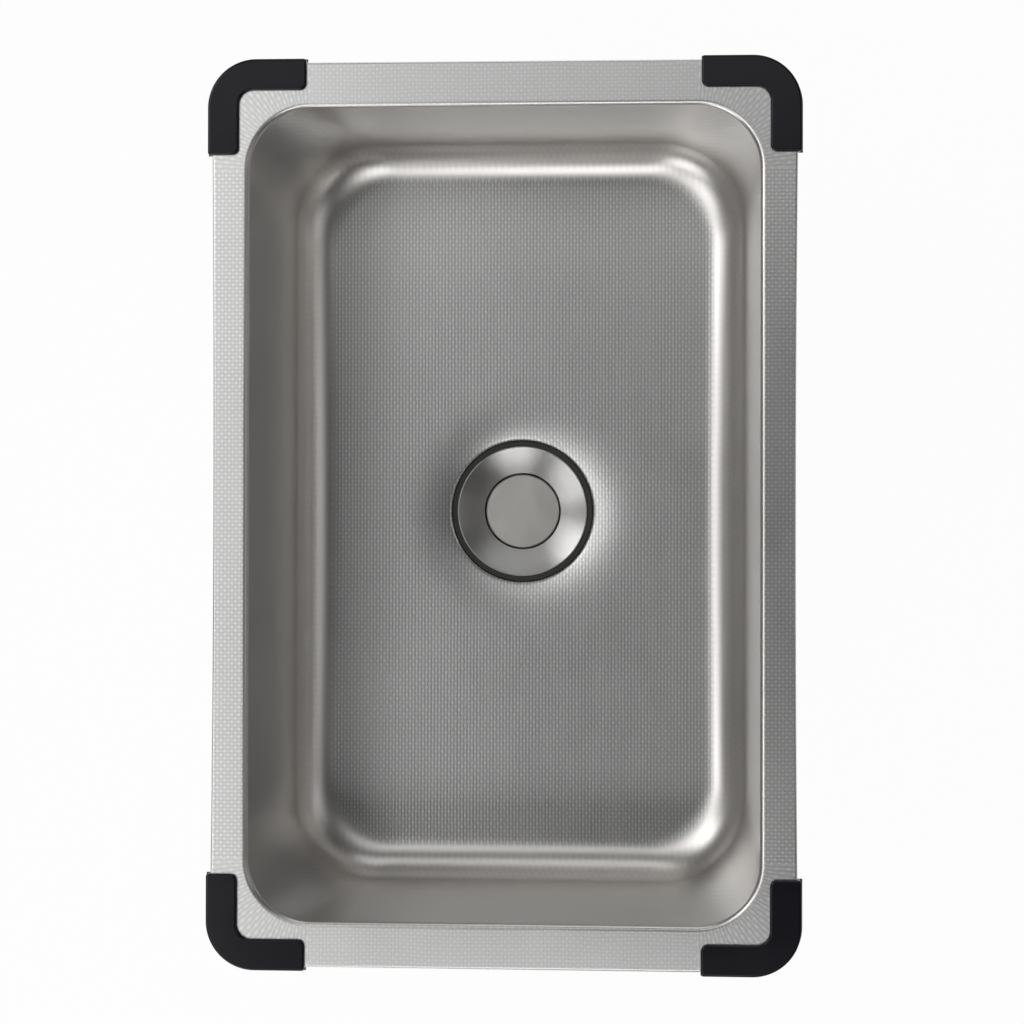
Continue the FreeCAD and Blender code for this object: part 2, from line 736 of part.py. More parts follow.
def strainer_basket():
    """The drawn steel basket: rolled rim, tapered wall with slots, floor with drain holes."""
    body = new_body("strainer_basket", "bowl_floor")
    rim = "-basket_rim"
    turned(body, "section", [
        ("sleeve_r + slide_clear", "-basket_depth"),
        ("basket_foot_r", "-basket_depth"),
        ("basket_wall_r", rim),
        ("basket_rim_r", rim),
        ("basket_rim_r", f"{rim} + basket_sheet"),
        ("basket_wall_r - basket_sheet", f"{rim} + basket_sheet"),
        ("basket_foot_r - basket_sheet", "-basket_depth + basket_sheet"),
        ("sleeve_r + slide_clear", "-basket_depth + basket_sheet"),
    ])
    foot_z = -value("basket_depth")
    rounded(body, "foot_out", "basket_round", hoop(foot_z, value("basket_foot_r")))
    rounded(body, "foot_in", "basket_round - basket_sheet",
            hoop(foot_z + value("basket_sheet"), value("basket_foot_r - basket_sheet")))
    slot_top = f"({rim} - basket_sheet - overrun)"
    slot = outline(body, "slot", "YZ_Plane", [
        ("-slot_w / 2", f"{slot_top} - slot_length"),
        ("0", f"{slot_top} - slot_length - slot_w / 2", "slot_w / 2", CCW),
        ("slot_w / 2", f"{slot_top} - slot_length", "slot_w / 2", CCW),
        ("slot_w / 2", slot_top),
        ("0", f"{slot_top} + slot_w / 2", "slot_w / 2", CCW),
        ("-slot_w / 2", slot_top, "slot_w / 2", CCW),
    ])
    ring_of(body, [pocket(body, slot, "basket_rim_r", upward=True)], "slot_count")
    for name, count, radius in (("inner_dot", "inner_dots", "inner_dots_r"),
                                ("outer_dot", "outer_dots", "outer_dots_r")):
        dot = disc(body, name, "drain_dot_r", radius, "0", "-basket_depth + basket_sheet + overrun")
        ring_of(body, [pocket(body, dot, "basket_sheet + 2 * overrun")], count)
    return body


def latch_sleeve():
    """The latch's housing: a tube with a guide lid, a flange on the basket floor and lug slots."""
    body = new_body("latch_sleeve", "bowl_floor")
    top = "-sleeve_top_depth"
    foot = "-sleeve_foot"
    seat = "(-basket_depth + basket_sheet)"
    chamber = "(-cam_top + cam_tooth + slide_clear)"
    turned(body, "section", [
        ("sleeve_bore_r", foot),
        ("sleeve_r", foot),
        ("sleeve_r", seat),
        ("sleeve_flange_r", seat),
        ("sleeve_flange_r", f"{seat} + sleeve_flange_t"),
        ("sleeve_r", f"{seat} + sleeve_flange_t"),
        ("sleeve_r", top),
        ("stem_r + run_clear", top),
        ("stem_r + run_clear", f"{top} - sleeve_lid_t"),
        ("guide_bore_r", f"{top} - sleeve_lid_t"),
        ("guide_bore_r", chamber),
        ("sleeve_bore_r", chamber),
    ])
    half = "(lug_w / 2 + slide_clear)"
    slot = outline(body, "lug_slot", "XY_Plane", [
        ("stem_r + 2 * run_clear", f"-{half}"),
        ("sleeve_bore_r", f"-{half}"),
        ("sleeve_bore_r", half),
        ("stem_r + 2 * run_clear", half),
    ], chamber)
    ring_of(body, [pocket(body, slot, f"-{chamber} - sleeve_top_depth - sleeve_lid_t", upward=True)],
            "lug_count")
    return body


def sleeve_nut():
    """The thin hexagon nut that clamps the latch's housing to the basket floor."""
    body = new_body("sleeve_nut", "bowl_floor")
    sketch = outline(body, "face", "XY_Plane", hexagon("2 * sleeve_flange_r"),
                     "-basket_depth - sleeve_nut_t")
    draw_circle(sketch, "0", "0", "sleeve_r + thread_clear")
    pad(body, sketch, "sleeve_nut_t")
    return body


def sleeve_plug():
    """The screwed plug that closes the housing and carries the lift spring."""
    body = new_body("sleeve_plug", "bowl_floor")
    inner = "(lift_spring_r - wire_r - spring_clear)"
    turned(body, "section", [
        ("0", "-sleeve_foot"),
        ("sleeve_bore_r - thread_clear", "-sleeve_foot"),
        ("sleeve_bore_r - thread_clear", "-plug_top"),
        (inner, "-plug_top"),
        (inner, "-plug_top + 2 * wire_r"),
        ("0", "-plug_top + 2 * wire_r"),
    ])
    return body


def coil(name, radius, low, high):
    """A round-wire compression spring between two levels."""
    body = new_body(name, "bowl_floor")
    sketch = new_sketch(body, "wire", "XZ_Plane")
    draw_circle(sketch, radius, f"{low} + wire_r + spring_clear", "wire_r")
    feature = body.newObject("PartDesign::AdditiveHelix", f"{name}_helix")
    feature.Profile = sketch
    feature.ReferenceAxis = (sketch, ["V_Axis"])
    feature.Mode = "pitch-height-angle"
    rise = f"({high} - ({low}) - 2 * (wire_r + spring_clear))"
    feature.setExpression("Pitch", named(f"{rise} / spring_turns"))
    feature.setExpression("Height", named(rise))
    doc.recompute()
    gap = value(f"{rise} / spring_turns - 2 * wire_r")
    print(f"{name}: least gap between turns {gap:.2f} mm")
    return body


def lift_spring():
    return coil("lift_spring", "lift_spring_r", "-plug_top", "-stem_foot")


def button_spring():
    return coil("button_spring", "button_spring_r", "-button_well_depth", "-button_under")


def cap_dish():
    """The turned steel ring over the hole, hollowed towards the button."""
    body = new_body("cap_dish", "bowl_floor")
    turned(body, "section", [
        ("cap_r", "-cap_depth"),
        ("cap_r - cap_flat", "-cap_depth"),
        ("cap_inner", "-cap_inner_top", "cap_dish_r", CW),
        ("cap_inner", "-cap_inner_under"),
        ("cap_under_r", "-cap_seal_top"),
        ("cap_r", "-cap_seal_top"),
    ])
    return body


def cap_under(radius, gap):
    """Height of the cap ring's sloping underside, less a gap, at a radius."""
    slope = "((cap_inner_under - cap_seal_top) / (cap_under_r - cap_inner))"
    return f"(-cap_seal_top - (cap_under_r - ({radius})) * {slope} - {gap})"


def cap_seal():
    """The rubber ring that shows round the cap and closes the collar."""
    body = new_body("cap_seal", "bowl_floor")
    edge = "(hole_r - cap_seal_lip)"
    turned(body, "section", [
        ("cap_seal_in_r", "-carrier_top"),
        ("carrier_r", "-carrier_top"),
        (edge, "-carrier_top + cap_seal_t / 2"),
        (edge, "-cap_seal_top"),
        ("cap_under_r", "-cap_seal_top"),
        ("cap_seal_in_r", cap_under("cap_seal_in_r", "cap_gap")),
    ])
    return body


def cap_carrier():
    """The moulded plate under the cap: it grips the seal and forms the button's well."""
    body = new_body("cap_carrier", "bowl_floor")
    hub = "(cap_seal_in_r - cap_gap)"
    well_out = "(cap_inner + carrier_wall)"
    turned(body, "section", [
        ("stem_r + run_clear", "-carrier_under"),
        (well_out, "-carrier_under"),
        (well_out, "-carrier_top - carrier_t"),
        ("carrier_r", "-carrier_top - carrier_t"),
        ("carrier_r", "-carrier_top"),
        (hub, "-carrier_top"),
        (hub, cap_under(hub, "cap_gap")),
        ("cap_inner", cap_under("cap_inner", "cap_gap")),
        ("cap_inner", "-button_well_depth"),
        ("stem_r + run_clear", "-button_well_depth"),
    ])
    rib = outline(body, "rib", "XZ_Plane", [
        (f"{well_out} - carrier_wall / 2", "-carrier_under + carrier_wall"),
        (f"{well_out} + carrier_wall", "-carrier_under + carrier_wall"),
        ("carrier_r - 2 * carrier_wall", "-carrier_top - carrier_t / 2"),
        (f"{well_out} - carrier_wall / 2", "-carrier_top - carrier_t"),
    ])
    feature = pad(body, rib, "carrier_rib_t")
    feature.Midplane = True
    ring_of(body, [feature], "carrier_rib_count")
    return body


def cap_stem():
    """The hollow steel stem: its head lies in the well, its collar carries the cam ring."""
    body = new_body("cap_stem", "bowl_floor")
    groove = "-carrier_under"
    turned(body, "section", [
        ("stem_bore_r", "-stem_foot"),
        ("stem_r + 2 * cam_tooth", "-stem_foot"),
        ("stem_r + 2 * cam_tooth", "-cam_under"),
        ("stem_r", "-cam_under"),
        ("stem_r", f"{groove} - clip_t - thread_clear"),
        ("stem_r - clip_groove", f"{groove} - clip_t - thread_clear"),
        ("stem_r - clip_groove", groove),
        ("stem_r", groove),
        ("stem_r", "-button_well_depth"),
        ("stem_head_r", "-button_well_depth"),
        ("stem_head_r", "-button_well_depth + stem_head_t"),
        ("stem_bore_r", "-button_well_depth + stem_head_t"),
    ])
    return body


def stem_clip():
    """The open spring clip in the stem's groove, under the carrier."""
    body = new_body("stem_clip", "bowl_floor")
    inner = "(stem_r - clip_groove + run_clear)"
    turned(body, "section", [
        (inner, "-carrier_under - clip_t"),
        ("clip_r", "-carrier_under - clip_t"),
        ("clip_r", "-carrier_under"),
        (inner, "-carrier_under"),
    ])
    mouth = outline(body, "mouth", "XY_Plane", [
        ("0", f"-{inner} * cos(clip_mouth_turn)"),
        ("clip_r + overrun", f"-{inner} * cos(clip_mouth_turn)"),
        ("clip_r + overrun", f"{inner} * cos(clip_mouth_turn)"),
        ("0", f"{inner} * cos(clip_mouth_turn)"),
    ], "-carrier_under + overrun")
    pocket(body, mouth, "clip_t + 2 * overrun")
    return body


def cam_ring():
    """The latch's cam: a ring with guide lugs and slanted teeth, free to turn on the stem."""
    body = new_body("cam_ring", "bowl_floor")
    turned(body, "section", [
        ("stem_r + run_clear", "-cam_under"),
        ("guide_bore_r - slide_clear", "-cam_under"),
        ("guide_bore_r - slide_clear", "-cam_top"),
        ("stem_r + run_clear", "-cam_top"),
    ])
    half = "(lug_w / 2)"
    lug = outline(body, "lug", "XY_Plane", [
        ("stem_r + 2 * cam_tooth", f"-{half}"),
        ("sleeve_bore_r - 2 * slide_clear", f"-{half}"),
        ("sleeve_bore_r - 2 * slide_clear", half),
        ("stem_r + 2 * cam_tooth", half),
    ], "-cam_under")
    ring_of(body, [pad(body, lug, "cam_height")], "lug_count")
    notch = outline(body, "notch", "YZ_Plane", [
        ("-lug_w / 2", "-cam_top - cam_tooth"),
        ("lug_w / 2", "-cam_top"),
        ("-lug_w / 2", "-cam_top"),
    ])
    ring_of(body, [pocket(body, notch, "sleeve_r", upward=True)], "2 * lug_count")
    return body


def plug_button():
    """The flat round button: bevelled face, short skirt and a boss for the spindle."""
    body = new_body("plug_button", "bowl_floor")
    skirt_in = "(button_r - button_wall)"
    turned(body, "section", [
        ("0", "-button_top"),
        ("0", "-button_under - button_boss + spindle_grip"),
        ("stem_bore_r", "-button_under - button_boss + spindle_grip"),
        ("stem_bore_r", "-button_under - button_boss"),
        ("button_boss_r", "-button_under - button_boss"),
        ("button_boss_r", "-button_under"),
        (skirt_in, "-button_under"),
        (skirt_in, "-skirt_foot"),
        ("button_r", "-skirt_foot"),
        ("button_r", "-button_top"),
    ])
    rounded(body, "bevel", "button_bevel", hoop(-value("button_top"), value("button_r")), kind="Chamfer")
    return body


def button_spindle():
    """The thin rod from the button down through the stem to the latch."""
    body = new_body("button_spindle", "bowl_floor")
    turned(body, "section", [
        ("0", "-stem_foot + button_travel"),
        ("stem_bore_r - run_clear", "-stem_foot + button_travel"),
        ("stem_bore_r - run_clear", "-button_under - button_boss + spindle_grip"),
        ("0", "-button_under - button_boss + spindle_grip"),
    ])
    return body


def build():
    """Makes every piece and gives them back in the order they go together."""
    parts = [
        sink_bowl(),
        *corner_guards(),
        weld_studs(),
        stud_washers(),
        stud_nuts(),
        body_gasket(),
        waste_body(),
        basket_seal(),
        strainer_basket(),
        latch_sleeve(),
        sleeve_nut(),
        sleeve_plug(),
        lift_spring(),
        cap_dish(),
        cap_seal(),
        cap_carrier(),
        cap_stem(),
        stem_clip(),
        cam_ring(),
        button_spring(),
        plug_button(),
        button_spindle(),
    ]
    doc.recompute()
    return parts


def write_parts(parts):
    """Checks every object and writes each body to its own file."""
    for item in doc.Objects:
        if "Invalid" in item.State or "Error" in item.State:
            raise RuntimeError(f"{item.Name} failed: {item.State}")
    os.makedirs("parts", exist_ok=True)
    for item in parts:
        shape = item.Shape
        if shape.isNull() or not shape.isValid():
            raise RuntimeError(f"{item.Label} has no valid shape")
        shape.exportStep(f"parts/{item.Label}.step")
        box = shape.BoundBox
        print(f"{item.Label}: {len(shape.Solids)} solid, {len(shape.Faces)} faces, "
              f"{shape.Volume:.0f} mm3, {box.XLength:.1f} x {box.YLength:.1f} x {box.ZLength:.1f}, "
              f"z {box.ZMin:.2f} to {box.ZMax:.2f}")


write_parts(build())
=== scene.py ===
import bmesh
import bpy
import math
from mathutils import Matrix, Vector


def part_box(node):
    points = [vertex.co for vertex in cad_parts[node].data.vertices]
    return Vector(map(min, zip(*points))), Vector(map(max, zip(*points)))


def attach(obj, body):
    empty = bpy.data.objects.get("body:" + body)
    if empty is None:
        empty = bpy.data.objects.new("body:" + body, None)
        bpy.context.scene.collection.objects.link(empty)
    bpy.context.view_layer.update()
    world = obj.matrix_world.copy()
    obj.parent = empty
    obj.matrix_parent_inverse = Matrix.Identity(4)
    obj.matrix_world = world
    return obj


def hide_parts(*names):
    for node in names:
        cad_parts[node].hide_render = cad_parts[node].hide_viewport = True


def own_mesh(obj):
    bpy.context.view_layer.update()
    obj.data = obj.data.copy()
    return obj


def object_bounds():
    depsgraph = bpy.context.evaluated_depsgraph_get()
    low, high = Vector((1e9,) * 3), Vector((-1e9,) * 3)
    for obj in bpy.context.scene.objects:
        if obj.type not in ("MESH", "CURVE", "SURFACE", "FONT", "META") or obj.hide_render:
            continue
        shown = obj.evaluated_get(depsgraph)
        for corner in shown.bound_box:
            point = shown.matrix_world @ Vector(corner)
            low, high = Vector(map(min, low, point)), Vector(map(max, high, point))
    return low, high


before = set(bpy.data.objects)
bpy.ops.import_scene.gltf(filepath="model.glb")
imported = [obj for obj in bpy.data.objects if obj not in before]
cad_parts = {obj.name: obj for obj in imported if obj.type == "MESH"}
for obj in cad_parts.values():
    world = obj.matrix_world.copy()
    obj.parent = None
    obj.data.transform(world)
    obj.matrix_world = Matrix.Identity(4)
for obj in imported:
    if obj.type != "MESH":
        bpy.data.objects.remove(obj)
CAD_BOX = [list(corner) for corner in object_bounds()]

bl_info = {
    "name": "Pressed sink finishes",
    "version": (1, 0, 0),
    "blender": (4, 5, 0),
    "location": "View3D > Sidebar > Sink",
    "description": "A pressed bowl, finishes, threads and a studio for a kitchen sink",
    "category": "Object",
}

MM = 0.001
TURN = 2 * math.pi
BENCH_LEVEL = CAD_BOX[0][2]

# Sizes of the CAD nodes that the new pieces meet
OUTLET_RADIUS = 23.9 * MM
OUTLET_LENGTH = 20 * MM
STUD_RADIUS = 2.5 * MM
STUD_CIRCLE = 68 * MM
STUD_COUNT = 3
GASKET_OUTER = 58 * MM
GASKET_TUBE = 2.6 * MM
GASKET_LEDGE = 6 * MM
GASKET_CLEAR = 0.3 * MM

# Fineness of the pressed sheet: steps along each quarter and along its section
LONG_STEPS, CORNER_STEPS, SHORT_STEPS = 24, 24, 14
EDGE_STEPS, RIM_STEPS, WALL_STEPS, FOOT_STEPS = 5, 8, 12, 28
DIP_STEPS, LIP_STEPS = 24, 7
# Radii between which the floor's fall sets in, and how near a loop lies to the end of a rounding
FALL_ONSET = (50 * MM, 80 * MM)
SUPPORT = 0.5 * MM

# Studio, in metres: distance of the softboxes, and of the floor's edges from its middle
LIGHT_DISTANCE = 1.6
FLOOR_REACH = 12.0
# Share of the floor's look that is plain white whatever falls on it
FLOOR_GLOW = 0.97
# Upward part of a direction in which the ground gives way to the room
HORIZON = (-0.02, 0.1)
WHITE = (1.0, 1.0, 1.0)

# Where the sheet counts as floor: height and radius in millimetres, and how level it faces
DEEP = (-40.0, -60.0)
IN_DIP = (104.0, 92.0)
LEVEL = (0.955, 0.997)

# Relief of each part of the sheet: shares of columns and of rows, height and base
FLOOR_RELIEF = (0.585, 0.117, 1.11, -0.055)
SIDE_RELIEF = (0.22, 0.36, 0.85, 0.075)
END_RELIEF = (0.25, 0.35, 0.45, 0.275)
CORNER_RELIEF = (0.5, 0.1, 0.6, 0.2)

# Part of a wave, from hollow to crest, that a pearl rises over
PEARL_RISE = (-0.35, 1.0)
# Radial strokes at the corners, in millimetres: arc radius, pitch across and pitch outwards
STROKE_RADIUS, STROKE_PITCH, STROKE_LENGTH = 46.0, 4.6, 7.0
# Waviness of the rows at the ends, in millimetres: patch width and sway
WAVE_PATCH, WAVE_SWAY = 22.0, 5.0
# Faint draw marks on the walls, in millimetres
WALL_REPEAT, WALL_RIB, WALL_COLUMN = 9.0, 2.1, 4.2
# Unevenness of the sheet: width of a patch in millimetres, and how far it sways the roughness
CLOUD_PATCH, CLOUD_ROUGHNESS = 60.0, 0.05
RUBBED_PATCH, RUBBED_ROUGHNESS = 9.0, 0.04
GRAIN_PATCH, GRAIN_ROUGHNESS = 0.35, 0.05
# How far a cloud sways the tone, and height of the grain in pearl heights
CLOUD_TONE, GRAIN_HEIGHT = 0.06, 0.08

# Offset along the thread's axis in pitches, and height over its cylinder in thread depths
THREAD_SECTION = ((-0.42, -0.15), (-0.18, 0.75), (0.0, 1.0), (0.18, 0.75), (0.42, -0.15))
# Turns over which it runs out, and the share of its depth that stays at the very end
THREAD_RUNOUT, THREAD_LEAST = 0.25, 0.02
OUTLET_THREAD_DEPTH, OUTLET_THREAD_SIDES = 0.5 * MM, 72
STUD_THREAD_DEPTH, STUD_THREAD_SIDES = 0.18 * MM, 24
STUD_THREAD_PITCH = 0.8 * MM

# Edges that turn by more than this keep a sharp shading
SHARP_EDGE = math.radians(35)

# The wire that both springs are wound from
SPRING_WIRE = {"colour": (0.55, 0.54, 0.52), "roughness": 0.28, "grain_pitch": 0.25,
               "grain_height": 0.004}

# Softboxes: name, bearing and lean in degrees, width and height in metres, brightness
SOFTBOXES = (
    ("back_fill", 90, 23, 0.90, 0.50, 0.93),
    ("left_top", 180, 23, 0.50, 0.50, 1.15),
    ("left_back", 150, 44, 0.66, 1.00, 2.55),
    ("left_front", 210, 37, 0.64, 0.64, 2.2),
    ("front", 270, 37, 0.64, 0.64, 2.5),
    ("right", 0, 53, 0.78, 0.78, 0.6),
    ("back_low", 90, 71, 0.90, 0.90, 1.0),
    ("left_low", 240, 71, 0.90, 0.90, 2.4),
)


# Shader expressions


class Value:
    """A number that varies over a surface. Arithmetic on it adds Math nodes to its finish."""

    def __init__(self, finish, socket):
        self.finish = finish
        self.socket = socket

    def __add__(self, other):
        return self.finish.math("ADD", self, other)

    def __radd__(self, other):
        return self.finish.math("ADD", other, self)

    def __sub__(self, other):
        return self.finish.math("SUBTRACT", self, other)

    def __rsub__(self, other):
        return self.finish.math("SUBTRACT", other, self)

    def __mul__(self, other):
        return self.finish.math("MULTIPLY", self, other)

    def __rmul__(self, other):
        return self.finish.math("MULTIPLY", other, self)

    def __truediv__(self, other):
        return self.finish.math("DIVIDE", self, other)

    def __abs__(self):
        return self.finish.math("ABSOLUTE", self)

    def above(self, other):
        """1 where the value is the greater, else 0."""
        return self.finish.math("GREATER_THAN", self, other)

    def at_least(self, other):
        return self.finish.math("MAXIMUM", self, other)

    def cosine(self):
        return self.finish.math("COSINE", self)

    def sine(self):
        return self.finish.math("SINE", self)

    def smooth(self, low, high):
        """Rises smoothly from 0 at low to 1 at high."""
        return self.finish.node(
            "ShaderNodeMapRange", {"interpolation_type": "SMOOTHSTEP"},
            {"Value": self, "From Min": low, "From Max": high})

    def between(self, first, second):
        """first where the value is 0, second where it is 1."""
        return first + (second - first) * self


class Graph:
    """A shader tree that is filled node by node."""

    def __init__(self, owner, output):
        owner.use_nodes = True
        self.tree = owner.node_tree
        self.tree.nodes.clear()
        self.output = self.tree.nodes.new(output)

    def node(self, kind, settings, sockets, output=0):
        """Adds a node, applies its settings, then fills its sockets, named or by identifier."""
        made = self.tree.nodes.new(kind)
        for name, setting in settings.items():
            setattr(made, name, setting)
        known = {socket.identifier: socket for socket in made.inputs}
        for name, value in sockets.items():
            socket = known.get(name) or made.inputs[name]
            if isinstance(value, Value):
                self.tree.links.new(value.socket, socket)
            else:
                socket.default_value = value
        return Value(self, made.outputs[output])

    def math(self, operation, *values):
        """One Math node on up to two numbers."""
        sockets = dict(zip(("Value", "Value_001"), values))
        return self.node("ShaderNodeMath", {"operation": operation}, sockets)

    def finish_with(self, value):
        """Links the surface that the whole tree gives."""
        self.tree.links.new(value.socket, self.output.inputs["Surface"])


class Finish(Graph):
    """One procedural material: its main shader and the nodes that feed it."""

    def __init__(self, name, **constants):
        self.material = bpy.data.materials.new(name)
        super().__init__(self.material, "ShaderNodeOutputMaterial")
        sockets = {socket.replace("_", " "): value for socket, value in constants.items()}
        surface = self.node("ShaderNodeBsdfPrincipled", {}, sockets, "BSDF")
        self.shader = surface.socket.node
        self.finish_with(surface)

    def feed(self, name, value):
        """Links a varying value to one of the main shader's inputs."""
        self.tree.links.new(value.socket, self.shader.inputs[name])

    def place(self):
        """Position on the part in millimetres: x, y and z."""
        where = self.node("ShaderNodeTexCoord", {}, {}, "Object")
        return [self.node("ShaderNodeSeparateXYZ", {}, {"Vector": where}, axis) / MM
                for axis in "XYZ"]

    def facing(self):
        """The surface's direction: x, y and z of its normal."""
        normal = self.node("ShaderNodeNewGeometry", {}, {}, "Normal")
        return [self.node("ShaderNodeSeparateXYZ", {}, {"Vector": normal}, axis) for axis in "XYZ"]

    def noise(self, pitch, detail=2.0, stretch=(1, 1, 1)):
        """Cloudy noise from 0 to 1 in patches of about pitch millimetres, drawn out by stretch."""
        where = self.node("ShaderNodeTexCoord", {}, {}, "Object")
        scale = [1 / (pitch * MM * share) for share in stretch]
        scaled = self.node("ShaderNodeVectorMath", {"operation": "MULTIPLY"},
                           {"Vector": where, "Vector_001": scale})
        return self.node("ShaderNodeTexNoise", {}, {"Vector": scaled, "Scale": 1, "Detail": detail})

    def blend(self, factor, first, second):
        """A colour between two others."""
        return self.node("ShaderNodeMix", {"data_type": "RGBA"},
                         {"Factor_Float": factor, "A_Color": first, "B_Color": second}, 2)

    def scaled(self, colour, gain):
        """A colour made brighter or darker."""
        return self.node("ShaderNodeVectorMath", {"operation": "SCALE"},
                         {"Vector": colour, "Scale": gain}, "Vector")

    def emboss(self, height):
        """Bumps the surface by a height in millimetres."""
        self.feed("Normal", self.node("ShaderNodeBump", {}, {"Height": height, "Distance": MM},
                                      "Normal"))


def solid(colour, share=1.0):
    """A colour with full alpha, brightened or darkened by share."""
    return [channel * share for channel in colour[:3]] + [1.0]


def pearls(along, across, along_pitch, across_pitch):
    """Height from 0 to 1 of pearls in columns, every other one shifted by half a pearl."""
    wave = (along * (TURN / along_pitch)).cosine() * (across * (TURN / across_pitch)).cosine()
    return wave.smooth(*PEARL_RISE)


def ribs(along, pitch):
    """Height from 0 to 1 of straight ribs."""
    return (along * (TURN / pitch)).cosine() * 0.5 + 0.5


def grid(x, y, pitch_x, pitch_y, relief):
    """Height of staggered pearls that run together in columns along y and rows along x."""
    columns, rows, height, base = relief
    apart = pearls(x, y, pitch_x, pitch_y) * (1 - columns - rows)
    together = ribs(x, pitch_x / 2) * columns + ribs(y, pitch_y / 2) * rows
    return (apart + together) * height + base


# Finishes


def bowl_steel(steel):
    """Embossed stainless sheet: pearls on flange and floor, drawn nearly smooth on the walls."""
    finish = Finish("bowl_steel", Metallic=1.0)
    x, y, z = finish.place()
    face_x, face_y, face_z = finish.facing()
    deep = z.smooth(*DEEP)
    radius = finish.math("SQRT", x * x + y * y)
    level = abs(face_z).smooth(*LEVEL).at_least(radius.smooth(*IN_DIP))
    pitch = 2 * steel.pearl_column / MM
    floor_height = grid(x, y, pitch, steel.pearl_floor_repeat / MM, FLOOR_RELIEF)

    # Flange: straight rows beside the bowl, wavy ones at its ends, strokes round its corners
    corner_x, corner_y = (centre / MM for centre in steel.bowl_corner)
    past_x = (abs(x) - corner_x).at_least(0.0)
    past_y = (abs(y) - corner_y).at_least(0.0)
    reach = finish.math("SQRT", past_x * past_x + past_y * past_y)
    angle = finish.math("ARCTAN2", past_y, past_x)
    in_corner = past_x.above(0.0) * past_y.above(0.0)
    at_end = abs(y).above(corner_y)
    sway = finish.noise(WAVE_PATCH, stretch=(3, 1, 1)) * WAVE_SWAY
    repeat = steel.pearl_flange_repeat / MM
    side_height = grid(x, y, pitch, repeat, SIDE_RELIEF)
    end_height = grid(x, y + sway, pitch, repeat, END_RELIEF)
    strokes = grid(angle * STROKE_RADIUS, reach, STROKE_PITCH, STROKE_LENGTH, CORNER_RELIEF)
    flange_height = in_corner.between(at_end.between(side_height, end_height), strokes)

    # Walls: what is left of the pattern after drawing
    on_side = abs(face_x).above(abs(face_y))
    end_wall = pearls(x, z, pitch, WALL_REPEAT)
    side_wall = ribs(z, WALL_RIB) * 0.5 + pearls(y, z, WALL_COLUMN, WALL_REPEAT) * 0.5
    wall_height = on_side.between(end_wall, side_wall)

    relief = level.between(steel.wall_relief, 1.0)
    height = level.between(wall_height, deep.between(flange_height, floor_height)) - 0.5
    grain = finish.noise(GRAIN_PATCH)
    finish.emboss((height * relief + grain * GRAIN_HEIGHT) * (steel.pearl_height / MM))

    cloud = finish.noise(CLOUD_PATCH, detail=3.0)
    rubbed = finish.noise(RUBBED_PATCH, detail=3.0, stretch=(1, 5, 1))
    rough = level.between(steel.wall_roughness, steel.level_roughness)
    rough = rough + (cloud - 0.5) * CLOUD_ROUGHNESS + (rubbed - 0.5) * RUBBED_ROUGHNESS
    finish.feed("Roughness", rough + (grain - 0.5) * GRAIN_ROUGHNESS)
    # Painted shade: floor and dip keep the plain base colour while flange and walls are coloured
    # brighter, which paints the shade that the walls cast on the floor
    painted_floor_shade = (level * deep).between(steel.painted_floor_shade, 1.0)
    tone = 1.0 + (cloud - 0.5) * CLOUD_TONE
    # Painted highlight and shade: pearl crests are coloured brighter than the hollows between them,
    # on top of the random tone
    gain = painted_floor_shade * (tone + height * relief * steel.pearl_painted_shade)
    sheet = finish.blend(level, solid(steel.wall_colour), solid(steel.colour))
    finish.feed("Base Color", finish.scaled(sheet, gain))
    return finish.material


def turned_steel(name, colour, roughness, ring_pitch, ring_height, pull):
    """Turned steel with fine rings about the upright axis, which draw reflections out."""
    finish = Finish(name, Metallic=1.0, Anisotropic=pull, Anisotropic_Rotation=0.25)
    x, y, _ = finish.place()
    radius = finish.math("SQRT", x * x + y * y)
    wander = finish.noise(3.0)
    rings = (radius * (TURN / ring_pitch) + wander * 2.0).sine()
    grain = finish.noise(0.3)
    finish.emboss(rings * ring_height + grain * 0.002)
    finish.feed("Roughness", roughness + (finish.noise(6.0, detail=3.0) - 0.5) * 0.05)
    cloud = finish.noise(14.0)
    finish.feed("Base Color", finish.blend(cloud, solid(colour, 0.96), solid(colour, 1.04)))
    return finish.material


def plain_metal(name, colour, roughness, grain_pitch, grain_height, stretch=(1, 1, 1)):
    """Satin, drawn or plated metal with a fine grain and a slightly uneven tone."""
    finish = Finish(name, Metallic=1.0)
    grain = finish.noise(grain_pitch, detail=3.0, stretch=stretch)
    cloud = finish.noise(12.0, detail=3.0)
    finish.emboss(grain * grain_height)
    finish.feed("Roughness", roughness + (grain - 0.5) * 0.12 + (cloud - 0.5) * 0.08)
    finish.feed("Base Color", finish.blend(cloud, solid(colour, 0.94), solid(colour, 1.05)))
    return finish.material


def moulded(name, colour, roughness, grain_pitch, grain_height, gloss=0.5):
    """Moulded plastic or rubber: a fine tool grain, a few rubbed patches and a soft gloss."""
    finish = Finish(name, Specular_IOR_Level=gloss)
    grain = finish.noise(grain_pitch, detail=3.0)
    cloud = finish.noise(25.0, detail=3.0)
    finish.emboss(grain * grain_height)
    finish.feed("Roughness", roughness + (grain - 0.5) * 0.1 + (cloud - 0.5) * 0.1)
    finish.feed("Base Color", finish.blend(cloud, solid(colour, 0.85), solid(colour, 1.15)))
    return finish.material


# Pieces


def dress(node, material):
    """Gives a CAD node its finish."""
    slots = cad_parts[node].data.materials
    for index in range(len(slots)):
        slots[index] = material


def add_piece(name, mesh, body, slot, *nodes):
    """A new piece that rides on a body and stands for CAD nodes, if any."""
    piece = bpy.data.objects.new(name, mesh)
    bpy.context.scene.collection.objects.link(piece)
    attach(piece, body)
    if nodes:
        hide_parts(*nodes)
    return piece


# Threads


